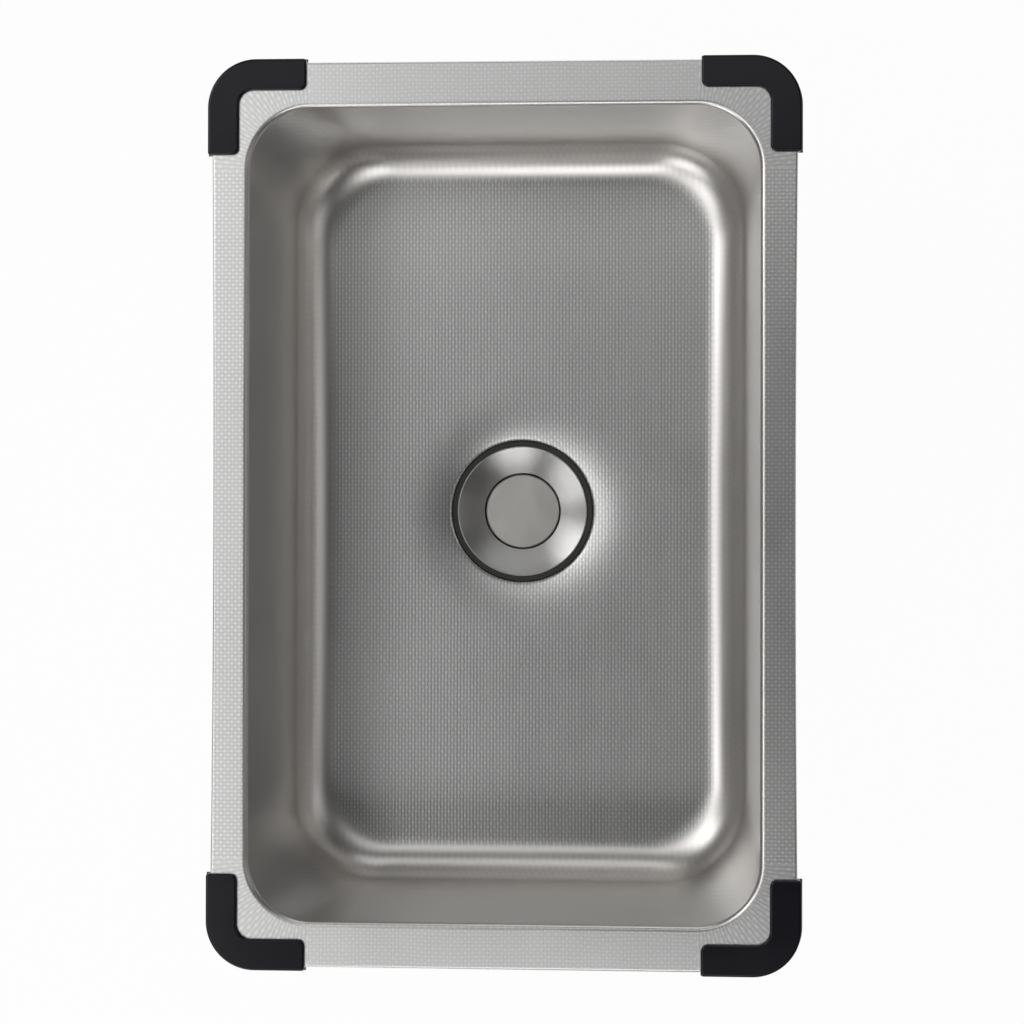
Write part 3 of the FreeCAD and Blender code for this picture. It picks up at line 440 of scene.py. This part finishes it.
def thread_ridge(name, radius, low, high, pitch, depth, sides, slot, material, centre=(0, 0)):
    """A helical ridge of triangular section with rounded crest, tapering out at both ends."""
    turns = (high - low) / pitch - 1
    steps = int(turns * sides)
    vertices = []
    faces = []
    for step in range(steps + 1):
        turn = TURN * step / sides
        fade = min(1.0, min(step, steps - step) / (sides * THREAD_RUNOUT))
        rise = low + pitch / 2 + pitch * step / sides
        for offset, height in THREAD_SECTION:
            reach = radius + depth * height * max(fade, THREAD_LEAST)
            vertices.append((centre[0] + reach * math.cos(turn),
                             centre[1] + reach * math.sin(turn), rise + offset * pitch))
    count = len(THREAD_SECTION)
    for step in range(steps):
        for index in range(count):
            nearer = step * count + index
            following = step * count + (index + 1) % count
            faces.append((nearer, nearer + count, following + count, following))
    faces.append(tuple(range(count)))
    faces.append(tuple(reversed(range(steps * count, steps * count + count))))
    mesh = bpy.data.meshes.new(name)
    mesh.from_pydata(vertices, [], faces)
    mesh.update()
    mesh.shade_smooth()
    mesh.materials.append(material)
    add_piece(name, mesh, "sink", slot)


# Pressed sheet


def ring(half_x, half_y, corner, height, bow=0.0):
    """Points of a rectangle with round corners, each quarter laid out alike."""
    quarter = []
    for step in range(LONG_STEPS):
        along = step / LONG_STEPS
        quarter.append((half_x - bow * (1 - along * along), along * (half_y - corner)))
    for step in range(CORNER_STEPS):
        turn = TURN / 4 * step / CORNER_STEPS
        quarter.append((half_x - corner + corner * math.cos(turn),
                        half_y - corner + corner * math.sin(turn)))
    for step in range(SHORT_STEPS + 1):
        quarter.append(((half_x - corner) * (1 - step / SHORT_STEPS), half_y))
    return mirrored(quarter, height)


def hoop(radius, height):
    """As many points as a ring has, evenly spread on a circle."""
    count = LONG_STEPS + CORNER_STEPS + SHORT_STEPS
    turns = [TURN / 4 * step / count for step in range(count + 1)]
    return mirrored([(radius * math.cos(turn), radius * math.sin(turn)) for turn in turns], height)


def mirrored(quarter, height):
    """A closed loop from its first quarter, which runs from the x axis to the y axis."""
    ahead = quarter[:-1]
    back = quarter[:0:-1]
    return ([(x, y, height) for x, y in ahead] + [(-x, y, height) for x, y in back]
            + [(-x, -y, height) for x, y in ahead] + [(x, -y, height) for x, y in back])


def wall_section(sheet, gap, half, draft, height):
    """How far the cavity's wall stands from the middle at a height, with both its roundings."""
    lean = math.tan(draft)
    rim = sheet.rim_round - gap
    foot = sheet.floor_round + gap
    top = sheet.edge_drop - gap
    floor = sheet.edge_drop - sheet.depth - gap
    rim_centre = top - rim
    foot_centre = floor + foot
    if height > rim_centre + rim * math.sin(draft):
        across = half + gap + rim * (1 / math.cos(draft) - lean)
        return across - math.sqrt(max(0.0, rim * rim - (height - rim_centre) ** 2))
    if height < foot_centre - foot * math.sin(draft):
        across = half + gap - (top - foot_centre) * lean - foot / math.cos(draft)
        return across + math.sqrt(max(0.0, foot * foot - (foot_centre - height) ** 2))
    return half + gap - (top - height) * lean


def dip_section(sheet, gap):
    """Radius and height of the dip from its outer border down into the collar."""
    floor = sheet.edge_drop - sheet.depth
    steep = sheet.dip_slope
    lip = sheet.lip_round
    centre = sheet.hole_radius + lip
    near = centre - lip * math.sin(steep)
    drop = sheet.lip_drop - lip * math.cos(steep)
    power = math.tan(steep) * (sheet.dip_reach - near) / drop
    points = []
    # The slope grows from level at the border to its steepest at the lip
    for step in range(DIP_STEPS + 1):
        share = step / DIP_STEPS
        radius = sheet.dip_reach + (near - sheet.dip_reach) * share
        slope = math.atan(math.tan(steep) * share ** (power - 1))
        points.append((radius + gap * math.sin(slope),
                       floor - drop * share ** power - gap * math.cos(slope)))
    reach = lip - gap
    for step in range(1, LIP_STEPS + 1):
        turn = steep + (TURN / 4 - steep) * step / LIP_STEPS
        points.append((centre - reach * math.sin(turn),
                       floor - sheet.lip_drop + reach * math.cos(turn)))
    points.append((sheet.hole_radius + gap, floor - sheet.collar_depth))
    return points


def edge_loops(sheet, gap):
    """Loops up the turned-down edge and over it onto the flange."""
    half_x, half_y = (size / 2 - gap for size in sheet.flange)
    corner = sheet.flange_corner - gap
    top = sheet.edge_drop - gap
    edge = sheet.edge_round - gap
    loops = [ring(half_x, half_y, corner, 0.0, sheet.edge_bow)]
    for step in range(EDGE_STEPS + 1):
        turn = TURN / 4 * step / EDGE_STEPS
        inset = edge * (1 - math.cos(turn))
        loops.append(ring(half_x - inset, half_y - inset, corner - inset,
                          top - edge + edge * math.sin(turn), sheet.edge_bow))
    inset = edge + SUPPORT
    loops.append(ring(half_x - inset, half_y - inset, corner - inset, top, sheet.edge_bow))
    return loops


def wall_heights(sheet, gap):
    """Heights of the wall's loops: over the rim, down the wall and round the foot."""
    rim = sheet.rim_round - gap
    foot = sheet.floor_round + gap
    top = sheet.edge_drop - gap
    floor = top - sheet.depth
    turns = [TURN / 4 * step / RIM_STEPS for step in range(RIM_STEPS + 1)]
    heights = [top - rim * (1 - math.cos(turn)) for turn in turns]
    high = heights[-1] - SUPPORT
    span = high - SUPPORT - (floor + foot)
    heights += [high - span * step / WALL_STEPS for step in range(WALL_STEPS + 1)]
    turns = [TURN / 4 * step / FOOT_STEPS for step in range(FOOT_STEPS + 1)]
    return heights + [floor + foot * (1 - math.sin(turn)) for turn in turns]


def wall_loops(sheet, gap):
    """Loops from the flange over the rim, down the wall and round its foot onto the floor."""
    top = sheet.edge_drop - gap
    foot_top = top - sheet.depth + sheet.floor_round + gap
    corner_growth = (sheet.foot_corner - sheet.mouth_corner) / sheet.depth
    sizes = []
    for height in wall_heights(sheet, gap):
        depth = top - height
        halves = []
        away = 0.0
        for mouth, draft in zip(sheet.mouth, sheet.draft):
            half = wall_section(sheet, gap, mouth / 2, draft, height)
            away += (half - (mouth / 2 + gap - depth * math.tan(draft))) / 2
            halves.append(half)
        if height < foot_top:
            away *= sheet.foot_tightening
        sizes.append((*halves, sheet.mouth_corner + gap + corner_growth * depth + away, height))
    # A close loop beside each flat keeps its shading level
    beside_rim = (*(size + SUPPORT for size in sizes[0][:3]), sizes[0][3])
    beside_foot = (*(size - SUPPORT for size in sizes[-1][:3]), sizes[-1][3])
    return [ring(*size) for size in (beside_rim, *sizes, beside_foot)]


def pressed_side(sheet, gap):
    """Loops of the sheet's upper side, or of its underside a gap below, from edge to collar."""
    floor = sheet.edge_drop - sheet.depth - gap
    loops = edge_loops(sheet, gap) + wall_loops(sheet, gap)
    loops += [hoop(radius, height) for radius, height in dip_section(sheet, gap)]
    return [[(x, y, z + floor_rise(sheet, math.hypot(x, y), z - floor)) for x, y, z in loop]
            for loop in loops]


def floor_rise(sheet, radius, height):
    """How much the floor stands above the dip's border at a radius, fading out up the wall."""
    near, far = FALL_ONSET
    onset = min(max(radius - near, 0.0), far - near)
    rise = onset * onset / (2 * (far - near)) + max(radius - far, 0.0)
    return rise * math.tan(sheet.fall) * min(1.0, max(0.0, 1 - height / sheet.floor_round))


def gasket_loops(sheet):
    """Loops round the wedge-shaped gasket, whose upper side follows the dip's underside."""
    floor = sheet.edge_drop - sheet.depth
    inner = sheet.hole_radius + sheet.gauge + GASKET_CLEAR
    end = floor - sheet.collar_depth
    ledge = floor - GASKET_LEDGE
    under = dip_section(sheet, sheet.gauge + GASKET_CLEAR / 2)
    upper = [(radius, height) for radius, height in under
             if inner + GASKET_CLEAR < radius < GASKET_OUTER]
    outline = [(inner, end), (inner + GASKET_TUBE, end), (inner + GASKET_TUBE, ledge),
               (GASKET_OUTER, ledge), (GASKET_OUTER, upper[0][1])] + upper
    outline.append((inner, upper[-1][1] - sheet.lip_round))
    return [hoop(radius, height) for radius, height in outline]


def shell_faces(loops):
    """Quads between neighbouring loops, and from the last loop back to the first."""
    count = len(loops[0])
    faces = []
    for row in range(len(loops)):
        here = row * count
        there = (row + 1) % len(loops) * count
        for index in range(count):
            after = (index + 1) % count
            faces.append((here + index, there + index, there + after, here + after))
    return faces


def closed_shell(name, loops, slot, material, node):
    """A closed shell of loops that stands for a CAD node and rides with the sink."""
    mesh = bpy.data.meshes.new(name)
    mesh.from_pydata([point for loop in loops for point in loop], [], shell_faces(loops))
    shape = bmesh.new()
    shape.from_mesh(mesh)
    bmesh.ops.recalc_face_normals(shape, faces=shape.faces)
    shape.to_mesh(mesh)
    shape.free()
    mesh.shade_smooth()
    mesh.set_sharp_from_angle(angle=SHARP_EDGE)
    mesh.materials.append(material)
    add_piece(name, mesh, "sink", slot, node)


# Settings that a user would change


class SinkSheetSettings(bpy.types.PropertyGroup):
    flange: bpy.props.FloatVectorProperty(
        name="Flange", description="Width and length over the flange", subtype="XYZ", unit="LENGTH",
        size=2, default=(336 * MM, 518 * MM))
    flange_corner: bpy.props.FloatProperty(
        name="Flange corner", description="Radius of the flange's corners", unit="LENGTH",
        default=26 * MM)
    edge_bow: bpy.props.FloatProperty(
        name="Edge bow", description="How far the long edges curve in at their middle",
        unit="LENGTH", default=1.3 * MM)
    edge_drop: bpy.props.FloatProperty(
        name="Edge drop", description="Height of the turned-down edge", unit="LENGTH",
        default=4 * MM)
    edge_round: bpy.props.FloatProperty(
        name="Edge rounding", description="Radius over the turned-down edge", unit="LENGTH",
        default=1.2 * MM)
    gauge: bpy.props.FloatProperty(
        name="Gauge", description="Thickness of the sheet", unit="LENGTH", default=0.8 * MM)
    mouth: bpy.props.FloatVectorProperty(
        name="Mouth", description="Width and length of the bowl's mouth", subtype="XYZ",
        unit="LENGTH", size=2, default=(293 * MM, 466 * MM))
    mouth_corner: bpy.props.FloatProperty(
        name="Mouth corner", description="Radius of the mouth's corners", unit="LENGTH",
        default=36 * MM)
    foot_corner: bpy.props.FloatProperty(
        name="Foot corner", description="Radius of the wall's corners at the floor", unit="LENGTH",
        default=54 * MM)
    foot_tightening: bpy.props.FloatProperty(
        name="Foot tightening", description="Share of the floor rounding that the corners lose",
        subtype="FACTOR", min=0, max=1, default=0.6)
    draft: bpy.props.FloatVectorProperty(
        name="Draft", description="Lean of the side walls and of the end walls", subtype="EULER",
        unit="ROTATION", size=2, default=(math.radians(3.0), math.radians(1.75)))
    rim_round: bpy.props.FloatProperty(
        name="Rim rounding", description="Radius between flange and wall", unit="LENGTH",
        default=3 * MM)
    depth: bpy.props.FloatProperty(
        name="Depth", description="Depth of the bowl", unit="LENGTH", default=150 * MM)
    floor_round: bpy.props.FloatProperty(
        name="Floor rounding", description="Radius between wall and floor", unit="LENGTH",
        default=25 * MM)
    dip_reach: bpy.props.FloatProperty(
        name="Dip", description="Radius where the floor begins to dip to the drain", unit="LENGTH",
        default=85 * MM)
    dip_slope: bpy.props.FloatProperty(
        name="Dip slope", description="Slope of the dip at the drain's lip", subtype="ANGLE",
        default=math.radians(13.5))
    fall: bpy.props.FloatProperty(
        name="Fall", description="Slope of the whole floor towards the dip", subtype="ANGLE",
        default=math.radians(1.0))
    hole_radius: bpy.props.FloatProperty(
        name="Drain hole", description="Radius of the drain hole", unit="LENGTH", default=44.5 * MM)
    lip_round: bpy.props.FloatProperty(
        name="Lip rounding", description="Radius where the dip turns down into the collar",
        unit="LENGTH", default=2.5 * MM)
    lip_drop: bpy.props.FloatProperty(
        name="Lip drop", description="Depth below the floor at which the collar begins",
        unit="LENGTH", default=5.187 * MM)
    collar_depth: bpy.props.FloatProperty(
        name="Collar", description="Depth below the floor of the collar's end", unit="LENGTH",
        default=11 * MM)


class SinkSteelSettings(bpy.types.PropertyGroup):
    colour: bpy.props.FloatVectorProperty(
        name="Steel colour", description="Colour of the stainless sheet", subtype="COLOR", size=3,
        min=0, max=1, default=(0.625, 0.624, 0.620))
    wall_colour: bpy.props.FloatVectorProperty(
        name="Wall colour", description="Colour of the drawn walls", subtype="COLOR", size=3,
        min=0, max=1, default=(0.638, 0.621, 0.601))
    # Painted shade on the floor: how much brighter the base colour of flange and walls is than that
    # of the floor and dip
    painted_floor_shade: bpy.props.FloatProperty(
        name="Painted floor shade", description="How much brighter flange and walls are than the floor",
        default=1.22)
    pearl_column: bpy.props.FloatProperty(
        name="Pearl columns", description="Distance between columns of pearls", unit="LENGTH",
        default=2.07 * MM)
    pearl_floor_repeat: bpy.props.FloatProperty(
        name="Floor pearls", description="Distance between pearls of one column on the floor",
        unit="LENGTH", default=4.74 * MM)
    pearl_flange_repeat: bpy.props.FloatProperty(
        name="Flange pearls", description="Distance between pearls of one column on the flange",
        unit="LENGTH", default=4.18 * MM)
    pearl_height: bpy.props.FloatProperty(
        name="Pearl height", description="How far a full pearl stands proud", unit="LENGTH",
        default=0.032 * MM)
    # Painted highlight and shade on the pearls: crests coloured brighter than hollows
    pearl_painted_shade: bpy.props.FloatProperty(
        name="Pearl contrast", description="How much brighter the crests are than the hollows",
        subtype="FACTOR", min=0, max=1, default=0.50)
    wall_relief: bpy.props.FloatProperty(
        name="Wall relief", description="Share of the full height on the drawn walls", default=0.12)
    level_roughness: bpy.props.FloatProperty(
        name="Level roughness", description="Roughness of flange and floor", subtype="FACTOR",
        min=0, max=1, default=0.36)
    wall_roughness: bpy.props.FloatProperty(
        name="Wall roughness", description="Roughness of the drawn walls", subtype="FACTOR",
        min=0, max=1, default=0.33)
    bowl_corner: bpy.props.FloatVectorProperty(
        name="Corner centre", description="Centre of the bowl's round corner, from the middle",
        subtype="XYZ", unit="LENGTH", size=2, default=(110.5 * MM, 197.0 * MM))


class SinkWasteSettings(bpy.types.PropertyGroup):
    cap_colour: bpy.props.FloatVectorProperty(
        name="Cap steel", description="Colour of the turned ring", subtype="COLOR", size=3,
        min=0, max=1, default=(0.55, 0.545, 0.535))
    button_colour: bpy.props.FloatVectorProperty(
        name="Button steel", description="Colour of the push button", subtype="COLOR", size=3,
        min=0, max=1, default=(0.74, 0.715, 0.68))
    rubber_colour: bpy.props.FloatVectorProperty(
        name="Rubber", description="Colour of the cap's rubber ring", subtype="COLOR", size=3,
        min=0, max=1, default=(0.042, 0.043, 0.037))
    body_colour: bpy.props.FloatVectorProperty(
        name="Waste body", description="Colour of the moulded waste body", subtype="COLOR", size=3,
        min=0, max=1, default=(0.035, 0.036, 0.038))
    thread_pitch: bpy.props.FloatProperty(
        name="Outlet thread", description="Pitch of the outlet's thread", unit="LENGTH",
        default=2.31 * MM)


class SinkGuardSettings(bpy.types.PropertyGroup):
    colour: bpy.props.FloatVectorProperty(
        name="Guard colour", description="Colour of the corner guards", subtype="COLOR", size=3,
        min=0, max=1, default=(0.0085, 0.0080, 0.0125))
    roughness: bpy.props.FloatProperty(
        name="Guard roughness", description="Roughness of the corner guards", subtype="FACTOR",
        min=0, max=1, default=0.24)


class SinkStudioSettings(bpy.types.PropertyGroup):
    camera_place: bpy.props.FloatVectorProperty(
        name="Camera", description="Where the camera stands", subtype="XYZ", unit="LENGTH", size=3,
        default=(0.1134, 0.020, 1.374))
    camera_aim: bpy.props.FloatVectorProperty(
        name="Aim", description="The point that the camera faces", subtype="XYZ", unit="LENGTH",
        size=3, default=(0.030, 0.031, 0.004))
    camera_roll: bpy.props.FloatProperty(
        name="Roll", description="Turn of the picture", subtype="ANGLE", default=math.radians(0.1))
    camera_shift: bpy.props.FloatVectorProperty(
        name="Shift", description="Shift of the picture sideways and upwards", size=2,
        default=(-0.0420, -0.0505))
    lens: bpy.props.FloatProperty(
        name="Lens", description="Focal length in millimetres", default=84.8)
    light_level: bpy.props.FloatProperty(
        name="Light level", description="Brightness of all softboxes together", default=1.0)
    ceiling: bpy.props.FloatProperty(
        name="Room", description="Brightness of the room above the floor", default=0.03)
    ground: bpy.props.FloatProperty(
        name="Ground", description="Brightness below the floor, for looks from underneath",
        default=0.8)


def settings_groups():
    """Scene attribute and class of each settings group."""
    return {
        "sink_steel": SinkSteelSettings,
        "sink_sheet": SinkSheetSettings,
        "sink_waste": SinkWasteSettings,
        "sink_guards": SinkGuardSettings,
        "sink_studio": SinkStudioSettings,
    }


# Operators


class SINK_OT_press_bowl(bpy.types.Operator):
    """Presses the embossed stainless sheet with its deep bowl and dished drain"""

    bl_idname = "sink.press_bowl"
    bl_label = "Press the bowl"

    def execute(self, context):
        sheet = context.scene.sink_sheet
        steel = bowl_steel(context.scene.sink_steel)
        dress("sink_bowl", steel)
        upper = pressed_side(sheet, 0.0)
        under = pressed_side(sheet, sheet.gauge)
        closed_shell("pressed_bowl", upper + under[::-1], "bowl_steel", steel, "sink_bowl")
        return {"FINISHED"}


class SINK_OT_dress_guards(bpy.types.Operator):
    """Gives the four corner guards their black moulded finish"""

    bl_idname = "sink.dress_guards"
    bl_label = "Dress the corner guards"

    def execute(self, context):
        guards = context.scene.sink_guards
        material = moulded("guard_plastic", guards.colour, guards.roughness,
                           grain_pitch=0.5, grain_height=0.003, gloss=0.3)
        for place in ("back_right", "back_left", "front_left", "front_right"):
            dress(f"guard_{place}", material)
        return {"FINISHED"}


class SINK_OT_dress_cap(bpy.types.Operator):
    """Gives the cap's turned ring, rubber, carrier, stem, clip, cam and spring their finishes"""

    bl_idname = "sink.dress_cap"
    bl_label = "Dress the cap"

    def execute(self, context):
        waste = context.scene.sink_waste
        dress("cap_dish", turned_steel(
            "cap_steel", waste.cap_colour,
            roughness=0.3, ring_pitch=0.4, ring_height=0.004, pull=0.75))
        dress("cap_seal", moulded(
            "seal_rubber", waste.rubber_colour,
            roughness=0.6, grain_pitch=0.4, grain_height=0.02, gloss=0.4))
        dress("cap_carrier", moulded(
            "carrier_plastic", (0.45, 0.46, 0.45),
            roughness=0.42, grain_pitch=0.6, grain_height=0.006))
        dress("cap_stem", turned_steel(
            "stem_steel", (0.60, 0.59, 0.57),
            roughness=0.25, ring_pitch=0.3, ring_height=0.003, pull=0.4))
        dress("stem_clip", plain_metal(
            "clip_steel", (0.42, 0.42, 0.43),
            roughness=0.35, grain_pitch=0.4, grain_height=0.004))
        dress("cam_ring", moulded(
            "cam_plastic", (0.70, 0.68, 0.62),
            roughness=0.4, grain_pitch=0.5, grain_height=0.005))
        dress("lift_spring", plain_metal("spring_steel", **SPRING_WIRE))
        return {"FINISHED"}


class SINK_OT_dress_button(bpy.types.Operator):
    """Gives the push button, its spindle and its spring their finishes"""

    bl_idname = "sink.dress_button"
    bl_label = "Dress the button"

    def execute(self, context):
        waste = context.scene.sink_waste
        dress("plug_button", plain_metal(
            "button_steel", waste.button_colour,
            roughness=0.36, grain_pitch=0.25, grain_height=0.003))
        dress("button_spindle", turned_steel(
            "spindle_steel", (0.58, 0.57, 0.55),
            roughness=0.25, ring_pitch=0.3, ring_height=0.003, pull=0.4))
        dress("button_spring", plain_metal("button_spring_steel", **SPRING_WIRE))
        coil = add_piece("squashed_spring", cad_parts["button_spring"].data.copy(), "cap",
                         "spring_steel", "button_spring")
        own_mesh(coil)
        return {"FINISHED"}


class SINK_OT_dress_strainer(bpy.types.Operator):
    """Gives the strainer basket and its latch their finishes"""

    bl_idname = "sink.dress_strainer"
    bl_label = "Dress the strainer"

    def execute(self, context):
        dress("strainer_basket", plain_metal(
            "basket_steel", (0.62, 0.61, 0.59),
            roughness=0.24, grain_pitch=0.8, grain_height=0.006, stretch=(1, 1, 4)))
        brass = plain_metal("latch_brass", (0.72, 0.56, 0.30),
                            roughness=0.3, grain_pitch=0.5, grain_height=0.006)
        for node in ("latch_sleeve", "sleeve_nut", "sleeve_plug"):
            dress(node, brass)
        return {"FINISHED"}


class SINK_OT_dress_waste(bpy.types.Operator):
    """Gives the waste body and its gaskets their finishes"""

    bl_idname = "sink.dress_waste"
    bl_label = "Dress the waste body"

    def execute(self, context):
        waste = context.scene.sink_waste
        dress("waste_body", moulded(
            "body_plastic", waste.body_colour,
            roughness=0.5, grain_pitch=0.7, grain_height=0.02))
        rubber = moulded("gasket_rubber", (0.016, 0.016, 0.016),
                         roughness=0.68, grain_pitch=0.5, grain_height=0.02, gloss=0.4)
        dress("body_gasket", rubber)
        dress("basket_seal", rubber)
        closed_shell("wedge_gasket", gasket_loops(context.scene.sink_sheet), "gasket_rubber",
                     rubber, "body_gasket")
        return {"FINISHED"}


class SINK_OT_dress_fixings(bpy.types.Operator):
    """Gives the studs, washers and nuts a zinc finish"""

    bl_idname = "sink.dress_fixings"
    bl_label = "Dress the fixings"

    def execute(self, context):
        zinc = plain_metal("zinc_steel", (0.62, 0.63, 0.65),
                           roughness=0.32, grain_pitch=0.7, grain_height=0.008)
        for node in ("weld_studs", "stud_washers", "stud_nuts"):
            dress(node, zinc)
        return {"FINISHED"}


class SINK_OT_cut_threads(bpy.types.Operator):
    """Winds the threads on the outlet and on the studs"""

    bl_idname = "sink.cut_threads"
    bl_label = "Cut the threads"

    def execute(self, context):
        waste = context.scene.sink_waste
        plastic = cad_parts["waste_body"].data.materials[0]
        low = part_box("waste_body")[0].z
        thread_ridge("outlet_thread", OUTLET_RADIUS, low + MM, low + OUTLET_LENGTH - MM,
                     waste.thread_pitch, OUTLET_THREAD_DEPTH, OUTLET_THREAD_SIDES,
                     "body_plastic", plastic)
        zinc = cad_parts["weld_studs"].data.materials[0]
        stud_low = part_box("weld_studs")[0].z
        stud_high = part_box("stud_nuts")[0].z
        for number in range(STUD_COUNT):
            turn = TURN * number / STUD_COUNT
            centre = (STUD_CIRCLE * math.cos(turn), STUD_CIRCLE * math.sin(turn))
            thread_ridge(f"stud_thread_{number}", STUD_RADIUS, stud_low, stud_high,
                         STUD_THREAD_PITCH, STUD_THREAD_DEPTH, STUD_THREAD_SIDES,
                         "zinc_steel", zinc, centre)
        return {"FINISHED"}


class SINK_OT_build_studio(bpy.types.Operator):
    """Builds the pale floor, the soft lights, the room and the camera"""

    bl_idname = "sink.build_studio"
    bl_label = "Build the studio"

    def execute(self, context):
        studio = context.scene.sink_studio
        pale_floor()
        for name, bearing, lean, width, height, brightness in SOFTBOXES:
            soft_light(name, bearing, lean, width, height, brightness * studio.light_level)
        room(context, studio)
        camera(context, studio)
        context.scene.view_settings.view_transform = "Standard"
        return {"FINISHED"}


def pale_floor():
    """A wide white floor that keeps the shadow and can be looked through from below."""
    mesh = bpy.data.meshes.new("studio_floor")
    corners = [(-1, -1), (1, -1), (1, 1), (-1, 1)]
    mesh.from_pydata([(x * FLOOR_REACH, y * FLOOR_REACH, BENCH_LEVEL) for x, y in corners], [],
                     [(0, 1, 2, 3)])
    floor = bpy.data.objects.new("studio_floor", mesh)
    bpy.context.scene.collection.objects.link(floor)
    finish = Finish("studio_floor", Base_Color=solid((0.9, 0.9, 0.9)), Roughness=0.9,
                    Specular_IOR_Level=0.0)
    seen, mirrored, through = [finish.node("ShaderNodeLightPath", {}, {}, f"Is {kind} Ray")
                               for kind in ("Camera", "Glossy", "Transmission")]
    glow = finish.node("ShaderNodeEmission", {}, {"Color": solid(WHITE), "Strength": 1.0},
                       "Emission")
    lit = finish.node("ShaderNodeMixShader", {}, {
        "Fac": seen.at_least(mirrored).at_least(through) * FLOOR_GLOW,
        "Shader": Value(finish, finish.shader.outputs["BSDF"]),
        "Shader_001": glow}, "Shader")
    clear = finish.node("ShaderNodeBsdfTransparent", {}, {}, "BSDF")
    underneath = finish.node("ShaderNodeNewGeometry", {}, {}, "Backfacing")
    both = finish.node("ShaderNodeMixShader", {}, {
        "Fac": underneath, "Shader": lit, "Shader_001": clear}, "Shader")
    finish.finish_with(both)
    mesh.materials.append(finish.material)


def soft_light(name, bearing, lean, width, height, brightness):
    """A softbox that faces the sink, bearing round the upright axis and lean off it in degrees."""
    light = bpy.data.lights.new(name, "AREA")
    light.shape = "RECTANGLE"
    light.size = width
    light.size_y = height
    light.energy = math.pi * width * height * brightness
    lamp = bpy.data.objects.new(name, light)
    turn = math.radians(bearing)
    tilt = math.radians(lean)
    direction = Vector((math.sin(tilt) * math.cos(turn), math.sin(tilt) * math.sin(turn),
                        math.cos(tilt)))
    lamp.location = direction * LIGHT_DISTANCE
    lamp.rotation_mode = "QUATERNION"
    lamp.rotation_quaternion = direction.to_track_quat("Z", "Y")
    bpy.context.scene.collection.objects.link(lamp)


def room(context, studio):
    """A dim room above a pale ground, which the camera sees as plain white."""
    world = bpy.data.worlds.new("studio_room")
    context.scene.world = world
    graph = Graph(world, "ShaderNodeOutputWorld")
    where = graph.node("ShaderNodeTexCoord", {}, {}, "Generated")
    rise = graph.node("ShaderNodeSeparateXYZ", {}, {"Vector": where}, "Z")
    seen = graph.node("ShaderNodeLightPath", {}, {}, "Is Camera Ray")
    around = rise.smooth(*HORIZON).between(studio.ground, studio.ceiling)
    strength = seen.between(around, 1.0)
    graph.finish_with(graph.node("ShaderNodeBackground", {},
                                 {"Color": solid(WHITE), "Strength": strength}))


def camera(context, studio):
    """The camera at the photograph's place."""
    data = bpy.data.cameras.new("studio_camera")
    data.lens = studio.lens
    data.sensor_width = 36
    data.shift_x, data.shift_y = studio.camera_shift
    data.clip_end = 50
    seat = bpy.data.objects.new("studio_camera", data)
    place = Vector(studio.camera_place)
    forward = Vector(studio.camera_aim) - place
    back = -forward.normalized()
    right = Vector((0, 1, 0)).cross(back).normalized()
    upward = back.cross(right)
    turn = Matrix((right, upward, back)).transposed()
    seat.rotation_mode = "QUATERNION"
    seat.rotation_quaternion = (turn @ Matrix.Rotation(studio.camera_roll, 3, "Z")).to_quaternion()
    seat.location = place
    context.scene.collection.objects.link(seat)
    context.scene.camera = seat


OPERATORS = (
    SINK_OT_press_bowl,
    SINK_OT_dress_guards,
    SINK_OT_dress_cap,
    SINK_OT_dress_button,
    SINK_OT_dress_strainer,
    SINK_OT_dress_waste,
    SINK_OT_dress_fixings,
    SINK_OT_cut_threads,
    SINK_OT_build_studio,
)


class SINK_PT_finishes(bpy.types.Panel):
    """Lists the steps that dress the sink"""

    bl_label = "Sink"
    bl_idname = "SINK_PT_finishes"
    bl_space_type = "VIEW_3D"
    bl_region_type = "UI"
    bl_category = "Sink"

    def draw(self, context):
        column = self.layout.column()
        for operator in OPERATORS:
            column.operator(operator.bl_idname)
        for name, group in settings_groups().items():
            box = self.layout.box()
            for setting in group.__annotations__:
                box.prop(getattr(context.scene, name), setting)


def register():
    for name, group in settings_groups().items():
        bpy.utils.register_class(group)
        setattr(bpy.types.Scene, name, bpy.props.PointerProperty(type=group))
    for operator in OPERATORS:
        bpy.utils.register_class(operator)
    bpy.utils.register_class(SINK_PT_finishes)


def unregister():
    bpy.utils.unregister_class(SINK_PT_finishes)
    for operator in reversed(OPERATORS):
        bpy.utils.unregister_class(operator)
    for name, group in reversed(settings_groups().items()):
        delattr(bpy.types.Scene, name)
        bpy.utils.unregister_class(group)


def main():
    register()
    for operator in OPERATORS:
        module, name = operator.bl_idname.split(".")
        getattr(getattr(bpy.ops, module), name)()


if __name__ == "__main__":
    main()
